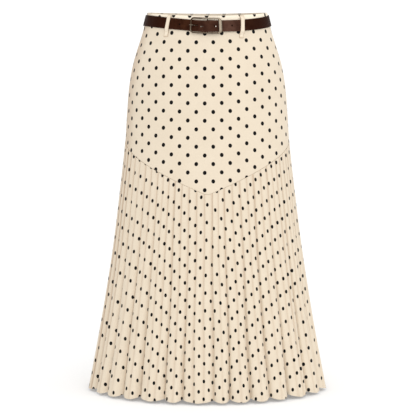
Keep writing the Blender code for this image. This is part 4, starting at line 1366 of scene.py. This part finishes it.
def build_prong():
    """A wire hooked round the inner bar, along behind the tail, up through its slot close to
    the left bar, and over that bar, where its tip is filed down and dips."""
    hook = BAR_RADIUS + LEATHER_GAP + PRONG_RADIUS
    knots = [(BAR_PLACE + hook * math.cos(a), BAR_OUT + hook * math.sin(a))
             for a in np.radians(np.linspace(-150.0, 90.0, 13))]
    rest = BUCKLE_OUT_LEFT + BUCKLE_HALF_THICK + LEATHER_GAP + PRONG_RADIUS
    knots += PRONG_BENDS + [(BUCKLE_LEFT, rest + 0.1 * MM), (BUCKLE_LEFT - 0.0028, rest - 0.25 * MM)]
    step = 0.6 * MM
    path = smooth_route(knots, step)
    to_tip = np.linspace(1.0, 0.0, len(path)) * len(path) * step
    radius = PRONG_RADIUS * np.clip(0.45 + to_tip / (2.2 * MM), 0.0, 1.0) ** 0.5
    # Worn silver over the left bar; back towards the slot the prong stays plain dark bronze, as painted
    # shade under the tail.
    worn = 0.30 + 0.70 * smooth_step((-0.0280 - path[:, 0]) / 0.003)
    prong = wire("buckle_prong_metal", path[:, 0], path[:, 1], 0.0, radius, worn)
    dress(prong, "buckle_prong")


build_frame()
build_prong()

# %% [markdown]
# ## Belt loops
#
# Each loop is a narrow strip of the same cloth, folded so that its raw edges are inside, sewn at
# the top edge and again below the belt. In front there are two, behind two more. A flat section
# with round edges follows a route out over the belt. Stitches run down both of its edges, and a
# bar tack of close cross stitches holds each end. A stitch is a short, plump thread, a little
# sunk at both ends where it enters the cloth. One small spindle is worked out once and laid along
# a list of places, so all stitches of a loop are one mesh.

# %% Routes of the loops
LOOP_WIDTH = 8.8 * MM
LOOP_THICK = 1.0 * MM
LOOP_WAIST = 0.10             # share by which the belt pulls the strip narrower
LOOP_DETOUR = 3.0 * MM        # length that the way out over the belt adds
LOOPS = (
    # name, angle_deg, lean, belt_layers, length
    ("loop_front_left", -37.4, -0.0024, 1, 0.044),
    ("loop_front_right", 34.0, -0.0064, 2, 0.046),
    ("loop_back_left", -130.0, 0.0, 1, 0.046),
    ("loop_back_right", 130.0, 0.0, 1, 0.046),
)


def loop_route(angle, layers, length):
    """Rows of (drop, out): flat on the cloth, out over the belt, and flat again below it."""
    flat = SEAM_GAP + 0.5 * LOOP_THICK
    over = BELT_GAP + layers * (BELT_THICK + LEATHER_GAP) + 0.5 * LOOP_THICK
    edge = float(top_drop(angle))
    belt_top = float(belt_drop(angle)) - 0.5 * BELT_HEIGHT
    belt_low = belt_top + BELT_HEIGHT
    return smooth_route([
        (edge + 0.4 * MM, flat),
        (edge + 1.2 * MM, flat + 0.1 * MM),
        (belt_top - 2.0 * MM, 0.75 * over + 0.25 * flat),
        (belt_top - 0.9 * MM, over),
        (belt_top + 4.0 * MM, over + 0.3 * MM),
        (0.5 * (belt_top + belt_low), over + 0.4 * MM),
        (belt_low - 4.0 * MM, over + 0.3 * MM),
        (belt_low + 1.0 * MM, over),
        (belt_low + 3.5 * MM, 0.6 * over + 0.4 * flat),
        (belt_low + 6.5 * MM, flat + 0.1 * MM),
        (edge + 0.84 * length, flat),
        (edge + length, flat),
    ], 0.5 * MM)


def loop_place(angle, drop, out, across, lean, length):
    """Point of a loop: across from its middle line, which leans sideways on its way down."""
    step = 0.01
    belt_top = belt_drop(angle) - 0.5 * BELT_HEIGHT
    per_metre = step / np.linalg.norm(cloth_point(angle + step, belt_top) - cloth_point(angle, belt_top))
    waist = 1.0 - LOOP_WAIST * bell((drop - belt_drop(angle)) / 0.011)
    turned = angle + (across * waist + lean * (drop - top_drop(angle)) / length) * per_metre
    base = np.maximum(drop, 0.0)
    point = cloth_point(turned, base) + (base - drop)[..., None] * (0.0, 0.0, 1.0)
    return point + cloth_out(turned, base) * np.asarray(out)[..., None]


def loop_section():
    """Across and out round the strip: flat faces and round edges."""
    half, thick = 0.5 * LOOP_WIDTH, 0.5 * LOOP_THICK
    turn = np.radians(np.linspace(90.0, -90.0, 7))
    right = paired(half - thick + thick * np.cos(turn), thick * np.sin(turn))
    front = paired(np.linspace(-half + thick, half - thick, 13)[1:-1], thick)
    return np.concatenate([front, right, front[::-1] * (1.0, -1.0), right[::-1] * (-1.0, 1.0)])


def build_loop(name, angle, lean, path, length):
    """The section carried down the route, thinner at its two ends, with painted shade along its
    edges and ends and painted light over it.
    """
    section = loop_section()
    side = side_of(path)
    down = running_length(path)
    ends = np.clip(np.minimum(path[:, 0] - path[0, 0], path[-1, 0] - path[:, 0]) / MM, 0.0, 1.0)
    thick = section[None, :, 1] * (0.45 + 0.55 * np.sqrt(ends))[:, None]
    drop = path[:, :1] + side[:, :1] * thick
    points = loop_place(angle, drop, path[:, 1:] + side[:, 1:] * thick, section[None, :, 0], lean, length)
    to_edge = (0.5 * LOOP_WIDTH - np.abs(section[:, 0]))[None, :]
    to_end = np.minimum(down, down[-1] - down)[:, None]
    # Painted shade along the loop's edges and at both of its ends.
    fold = np.clip(bell(to_edge / (0.8 * MM)) + 0.8 * bell(to_end / (0.9 * MM)), 0.0, 1.0)
    # Painted light: the whole loop is painted paler, where it would lie in shade.
    loop = add_piece(name + "_cloth", points, tube_faces(*drop.shape), PLAIN, sharp_deg=60.0,
                     maps={"cloth": paired(np.arange(1, len(section) + 1)[None, :] * MM, down[:, None])},
                     values={"fold": fold, "pale": np.full(fold.shape, 0.30)})
    return dress(loop, name)


# %% Thread and stitches
STITCH_SIDES = 6
STITCH_RINGS = 6
STITCH_RADIUS = 0.16 * MM
STITCH_LENGTH = 1.7 * MM
STITCH_PITCH = 2.3 * MM
STITCH_ROWS = (1.6 * MM, 3.4 * MM)      # where the rows begin and end, from the loop's ends
TACKS = (0.7 * MM, 2.6 * MM)            # and where its bar tacks begin
TACK_STITCHES = 7
TACK_PITCH = 0.3 * MM
TACK_LEAN = 0.12 * MM
EDGE_TO_STITCH = 1.4 * MM


def make_thread():
    """Cream sewing thread: twisted ply lines along each stitch and a soft shine."""
    finish, nodes, shader = new_finish("sewing_thread", {"Sheen Weight": 0.25})
    along, across = apart(read_map(nodes, "thread"))[:2]
    ply = ((along * 3.0 + across) * (2.0 * math.pi)).math("SINE")
    shade = remap(ply, -1.0, 1.0)
    colour = mix_colour(shade, (0.66, 0.555, 0.42, 1.0), (0.78, 0.68, 0.53, 1.0))
    paint(shader, colour, remap(shade, 0.0, 1.0, 0.62, 0.48), ply, 0.03 * MM, 0.5)
    return finish


THREAD_FINISH = make_thread()


def add_stitches(name, rows):
    """One object from rows of (starts, ends, ways out). Each stitch is a spindle from its start
    to its end: its radius swells as a sine, and its middle rises by one radius."""
    starts, ends, outs = (np.concatenate([row[i] for row in rows]) for i in range(3))
    share = np.linspace(0.0, 1.0, STITCH_RINGS)
    swell = np.sqrt(np.sin(math.pi * np.clip(share, 0.06, 0.94)))
    turn = full_turn(STITCH_SIDES)[None, :, None]
    ahead = unit(ends - starts)
    first = unit(outs - ahead * np.sum(outs * ahead, axis=-1, keepdims=True))
    second = np.cross(ahead, first)
    middle = starts[:, None] + (ends - starts)[:, None] * share[None, :, None]
    middle = middle + first[:, None] * (STITCH_RADIUS * (np.sin(math.pi * share) - 0.35))[None, :, None]
    ring = first[:, None] * np.cos(turn) + second[:, None] * np.sin(turn)
    points = middle[:, :, None] + ring[:, None] * (STITCH_RADIUS * swell)[None, :, None, None]
    lay = paired(share[:, None], np.arange(STITCH_SIDES)[None, :] / STITCH_SIDES)
    piece = add_piece(name, points, many_tubes(len(starts), STITCH_RINGS, STITCH_SIDES), THREAD_FINISH,
                      maps={"thread": np.tile(lay.reshape(-1, 2), (len(starts), 1))}, sharp_deg=80.0)
    return dress(piece)


def loop_stitches(name, angle, lean, path, length):
    """Two rows of stitches down the edges and a bar tack of close cross stitches at each end."""
    edge_in = 0.5 * LOOP_WIDTH - EDGE_TO_STITCH
    down = running_length(path)

    def place(where, across, lift=0.0):
        drop, out = np.interp(where, down, path[:, 0]), np.interp(where, down, path[:, 1])
        return loop_place(angle, drop, out + 0.5 * LOOP_THICK + lift, across, lean, length)

    stops = np.arange(STITCH_ROWS[0], down[-1] - STITCH_ROWS[1], STITCH_PITCH)
    rows = [(place(stops, across), place(stops + STITCH_LENGTH, across),
             place(stops, across, MM) - place(stops, across)) for across in (-edge_in, edge_in)]
    reach = edge_in + 0.5 * MM
    for first in (TACKS[0], down[-1] - TACKS[1]):
        stops = first + np.arange(TACK_STITCHES) * TACK_PITCH
        rows.append((place(stops, -reach), place(stops + TACK_LEAN, reach),
                     place(stops, 0.0, MM) - place(stops, 0.0)))
    return add_stitches(name + "_stitches", rows)


loops = []
for loop_name, angle_deg, lean, layers, length in LOOPS:
    angle = math.radians(angle_deg)
    path = loop_route(angle, layers, length)
    loops.append(build_loop(loop_name, angle, lean, path, length))
    loop_stitches(loop_name, angle, lean, path, length)

# %% [markdown]
# ## The concealed zip
#
# The zip closes the centre back. From outside only the slider's neck and its pull can be seen, and
# the belt lies over both. Inside are the woven tape, the coil and the slider. The teeth of such a
# zip are one nylon filament bent into loops; each loop is a small tube, a sine in plan, and all
# of them are one mesh. A spiral curve could be one long tube instead, but it would cost more.

# %% Places at the centre back
ZIP_LENGTH = 0.200
ZIP_TAPE_WIDTH = 24.0 * MM
ZIP_TAPE_THICK = 0.8 * MM
ZIP_TOP = 4.0 * MM
TAPE_NEAR = -CLOTH - 0.57 * MM
TAPE_FAR = TAPE_NEAR - ZIP_TAPE_THICK
TAPE_FACE = TAPE_FAR - SEAM_GAP
PULL_OUT = SEAM_GAP + PULL_THICK


def back_place(across, drop, out):
    """Point near the centre back: across from the back seam and out from the cloth."""
    across, drop, out = np.broadcast_arrays(across, drop, out)
    angle = math.pi + np.arcsin(across / ring_sizes(drop)[0])
    return cloth_point(angle, drop) + cloth_out(angle, drop) * out[..., None]


def back_drop(down):
    """Drop of a place this far down the centre back edges, which begin at the back's dip."""
    return TOP_DIP + down * (1.0 - TOP_DIP / SIDE_SEAM_DROP)


NECK_MIDDLE = back_drop(NECK_TOP + 0.5 * NECK_HEIGHT)


def plates(name, levels):
    """A stack of rounded plates at the centre back, one inside the next: each level has its half
    width, half height and how far out it lies."""
    c, s = superellipse(32, 0.35)
    rings = [back_place(half_width * c, NECK_MIDDLE + half_height * s, out)
             for half_width, half_height, out in levels]
    return add_piece(name, np.stack(rings), tube_faces(len(rings), 32), METAL,
                     values={"worn": np.full((len(rings), 32), 0.5)}, sharp_deg=40.0)


def neck_room():
    """A block a little larger than the slider's neck, to cut the tape and the pull with."""
    half = (NECK_HALF_WIDTH + SEAM_GAP, 0.5 * NECK_HEIGHT + SEAM_GAP)
    return plates("neck_room", [(*half, TAPE_FACE - MM), (*half, PULL_OUT + MM)])


# %% Tape
GROOVE_DEPTH = 0.22 * MM
GROOVE_REACH = 0.35 * MM
RIB_HEIGHT = 0.02 * MM


def make_nylon():
    """Cream nylon: woven tape and filament, a little shiny, with an uneven tone."""
    finish, nodes, shader = new_finish("zip_nylon", {})
    weave = place_group(nodes, WEAVE, Cloth=read_map(nodes, "cloth"), Thread=0.6 * MM)
    colour = mix_colour(weave["Shade"], (0.50, 0.43, 0.33, 1.0), (0.62, 0.545, 0.435, 1.0))
    paint(shader, colour, remap(weave["Height"], 0.0, 1.3, 0.40, 0.56), weave["Height"], 0.10 * MM, 0.5)
    return finish


NYLON = make_nylon()


def build_tape():
    """Two halves of woven tape behind the back edges, shown as one wall with a groove between
    them and fine ribs along it; the top is cut round the slider's neck."""
    t = np.linspace(-1.0, 1.0, 41)
    drop = np.linspace(back_drop(ZIP_TOP), back_drop(ZIP_LENGTH), 121)[:, None]
    across = 0.5 * ZIP_TAPE_WIDTH * np.sign(t) * np.abs(t) ** 1.5 + 0.0 * drop
    groove = GROOVE_DEPTH * bell(across / GROOVE_REACH)
    relief = groove + RIB_HEIGHT * (1.0 - np.cos(math.pi * across / MM))
    walls = [back_place(across, drop, TAPE_NEAR - relief), back_place(across, drop, TAPE_FAR + relief)]
    tape = add_piece("zip_tape_woven", np.concatenate(walls), wall_faces(*across.shape), NYLON,
                     maps={"cloth": twice(paired(across, drop))}, mend=False)
    combine(tape, [neck_room()], "DIFFERENCE")
    return dress(tape, "zip_tape")


tape = build_tape()

# %% Coil
COIL_PITCH = 1.5 * MM
COIL_RADIUS = 0.27 * MM
COIL_ROOT = 2.0 * MM          # where a loop leaves its tape, and how far it reaches from there
COIL_REACH = 2.3 * MM
COIL_DEPTH = 0.52 * MM
COIL_OUT = TAPE_FAR - 0.80 * MM
COIL_START = 0.021
COIL_END = 0.194
COIL_SIDES = 5


def build_coil():
    """Rows of filament loops from both halves, half a pitch apart, so that they mesh. A loop
    reaches over the middle as a sine and turns back one filament deeper."""
    u = np.linspace(0.0, 1.0, 9)
    half_turn = math.pi * u
    flat = paired(COIL_ROOT - COIL_REACH * np.sin(half_turn), COIL_OUT + COIL_DEPTH * np.cos(half_turn))
    turn = full_turn(COIL_SIDES)
    ring = flat[:, None] + COIL_RADIUS * side_of(flat)[:, None] * np.cos(turn)[None, :, None]
    left = np.arange(COIL_START, COIL_END, COIL_PITCH)
    drops = np.concatenate([left, left + 0.5 * COIL_PITCH])[:, None, None]
    hand = np.repeat([1.0, -1.0], len(left))[:, None, None]
    points = back_place(hand * ring[..., 0], drops + COIL_RADIUS * np.sin(turn), ring[..., 1])
    lay = paired(u[:, None] * 6.0 * MM, turn[None, :] * COIL_RADIUS)
    coil = add_piece("zip_coil_nylon", points, many_tubes(len(drops), len(u), COIL_SIDES), NYLON,
                     maps={"cloth": np.broadcast_to(lay, (len(drops), *lay.shape))}, sharp_deg=80.0)
    return dress(coil)


build_coil()

# %% Slider and pull
SLIDER_DEPTH = 2.6 * MM
PULL_LENGTH = 24.0 * MM
PULL_EYE = 5.5 * MM
PULL_TOP_HALF = 3.0 * MM
PULL_LOW_HALF = 3.6 * MM
PULL_LEVELS = np.array([
    # inset, out, worn
    (0.30 * MM, SEAM_GAP, 0.2),
    (0.10 * MM, SEAM_GAP + 0.08 * MM, 0.3),
    (0.00, SEAM_GAP + 0.25 * MM, 0.5),
    (0.00, PULL_OUT - 0.25 * MM, 0.7),
    (0.10 * MM, PULL_OUT - 0.08 * MM, 0.9),
    (0.30 * MM, PULL_OUT, 0.8),
    (0.80 * MM, PULL_OUT, 0.5),
    (1.00 * MM, PULL_OUT - 0.15 * MM, 0.2),
])


def build_slider():
    """A die-cast body with rounded edges and a slim neck that comes out between the back edges."""
    neck = (NECK_HALF_WIDTH, 0.5 * NECK_HEIGHT)
    end = PULL_OUT + LEATHER_GAP
    slider = plates("zip_slider_metal", [
        (3.00 * MM, 4.20 * MM, TAPE_FACE - SLIDER_DEPTH),
        (3.50 * MM, 4.75 * MM, TAPE_FACE - SLIDER_DEPTH + 0.2 * MM),
        (3.75 * MM, 5.00 * MM, TAPE_FACE - SLIDER_DEPTH + 0.6 * MM),
        (3.75 * MM, 5.00 * MM, TAPE_FACE - 0.5 * MM),
        (3.60 * MM, 4.85 * MM, TAPE_FACE - 0.15 * MM),
        (3.30 * MM, 4.60 * MM, TAPE_FACE),
        (*neck, TAPE_FACE),
        (*neck, end - 0.15 * MM),
        (neck[0] - 0.15 * MM, neck[1] - 0.15 * MM, end),
    ])
    dress(slider, "zip_slider")


def build_pull():
    """A drop-shaped plate with rounded edges and a sunk face, hanging from the neck by its eye."""
    turn = full_turn(48)
    half = PULL_TOP_HALF + (PULL_LOW_HALF - PULL_TOP_HALF) * 0.5 * (1.0 - np.cos(turn))
    inset, out, worn = PULL_LEVELS.T[..., None]
    middle = NECK_MIDDLE - PULL_EYE + 0.5 * PULL_LENGTH
    drop = middle - (0.5 * PULL_LENGTH - inset) * np.cos(turn)
    pull = add_piece("zip_pull_metal", back_place((half - inset) * np.sin(turn), drop, out),
                     tube_faces(*drop.shape), METAL, values={"worn": worn + 0.0 * drop}, sharp_deg=40.0)
    combine(pull, [neck_room()], "DIFFERENCE")
    dress(pull, "zip_pull")


build_slider()
build_pull()

# %% [markdown]
# ## What each sheet was cut to
#
# A pattern is flat, so for every sheet of cloth the flat size of what shows of it is printed:
# the yoke's panels nearly as they are, the pleats as long at the hem as the cloth is along its folds.
# The area is half of a wall's surface, as both of its sides are there.


def cut_sheet(piece, width, length):
    """Prints a sheet's flat width and length, given in metres, and its own area."""
    area = min(0.5 * sum(face.area for face in piece.data.polygons), width * length)
    print(f"{piece.name}: {100 * width:.1f} x {100 * length:.1f} cm, {1e4 * area:.0f} square cm")


def down_length(angle, first, last):
    """Length of cloth straight down between two drops."""
    return float(running_length(cloth_point(np.full(200, angle), np.linspace(first, last, 200)))[-1])


def round_hips(angle_deg):
    """Length round the hips from the nearer middle, front or back."""
    return abs(float(arc_from_middle(np.radians(angle_deg), np.array(SIDE_SEAM_DROP))))


backs = [yoke_back_left, yoke_back_right]
middle_length = down_length(0.0, TOP_DIP, float(seam_drop(0.0)))
cut_sheet(yoke_front, 2.0 * round_hips(89.99), middle_length)
back_length = down_length(math.pi, 0.0, SIDE_SEAM_DROP)
for panel in backs:
    cut_sheet(panel, round_hips(90.01), back_length)
flounce = down_length(0.5 * math.pi, SIDE_SEAM_DROP, HEM_DROP)
cut_sheet(pleats_front, front_cut, flounce)
cut_sheet(pleats_back, back_cut, flounce)
cut_sheet(tape, ZIP_TAPE_WIDTH, ZIP_LENGTH - ZIP_TOP)
for loop, (_, angle_deg, _, _, length) in zip(loops, LOOPS):
    under = yoke_front if abs(angle_deg) < 90.0 else backs[angle_deg > 0.0]
    cut_sheet(loop, LOOP_WIDTH + LOOP_THICK + 0.2 * MM, length + LOOP_DETOUR)
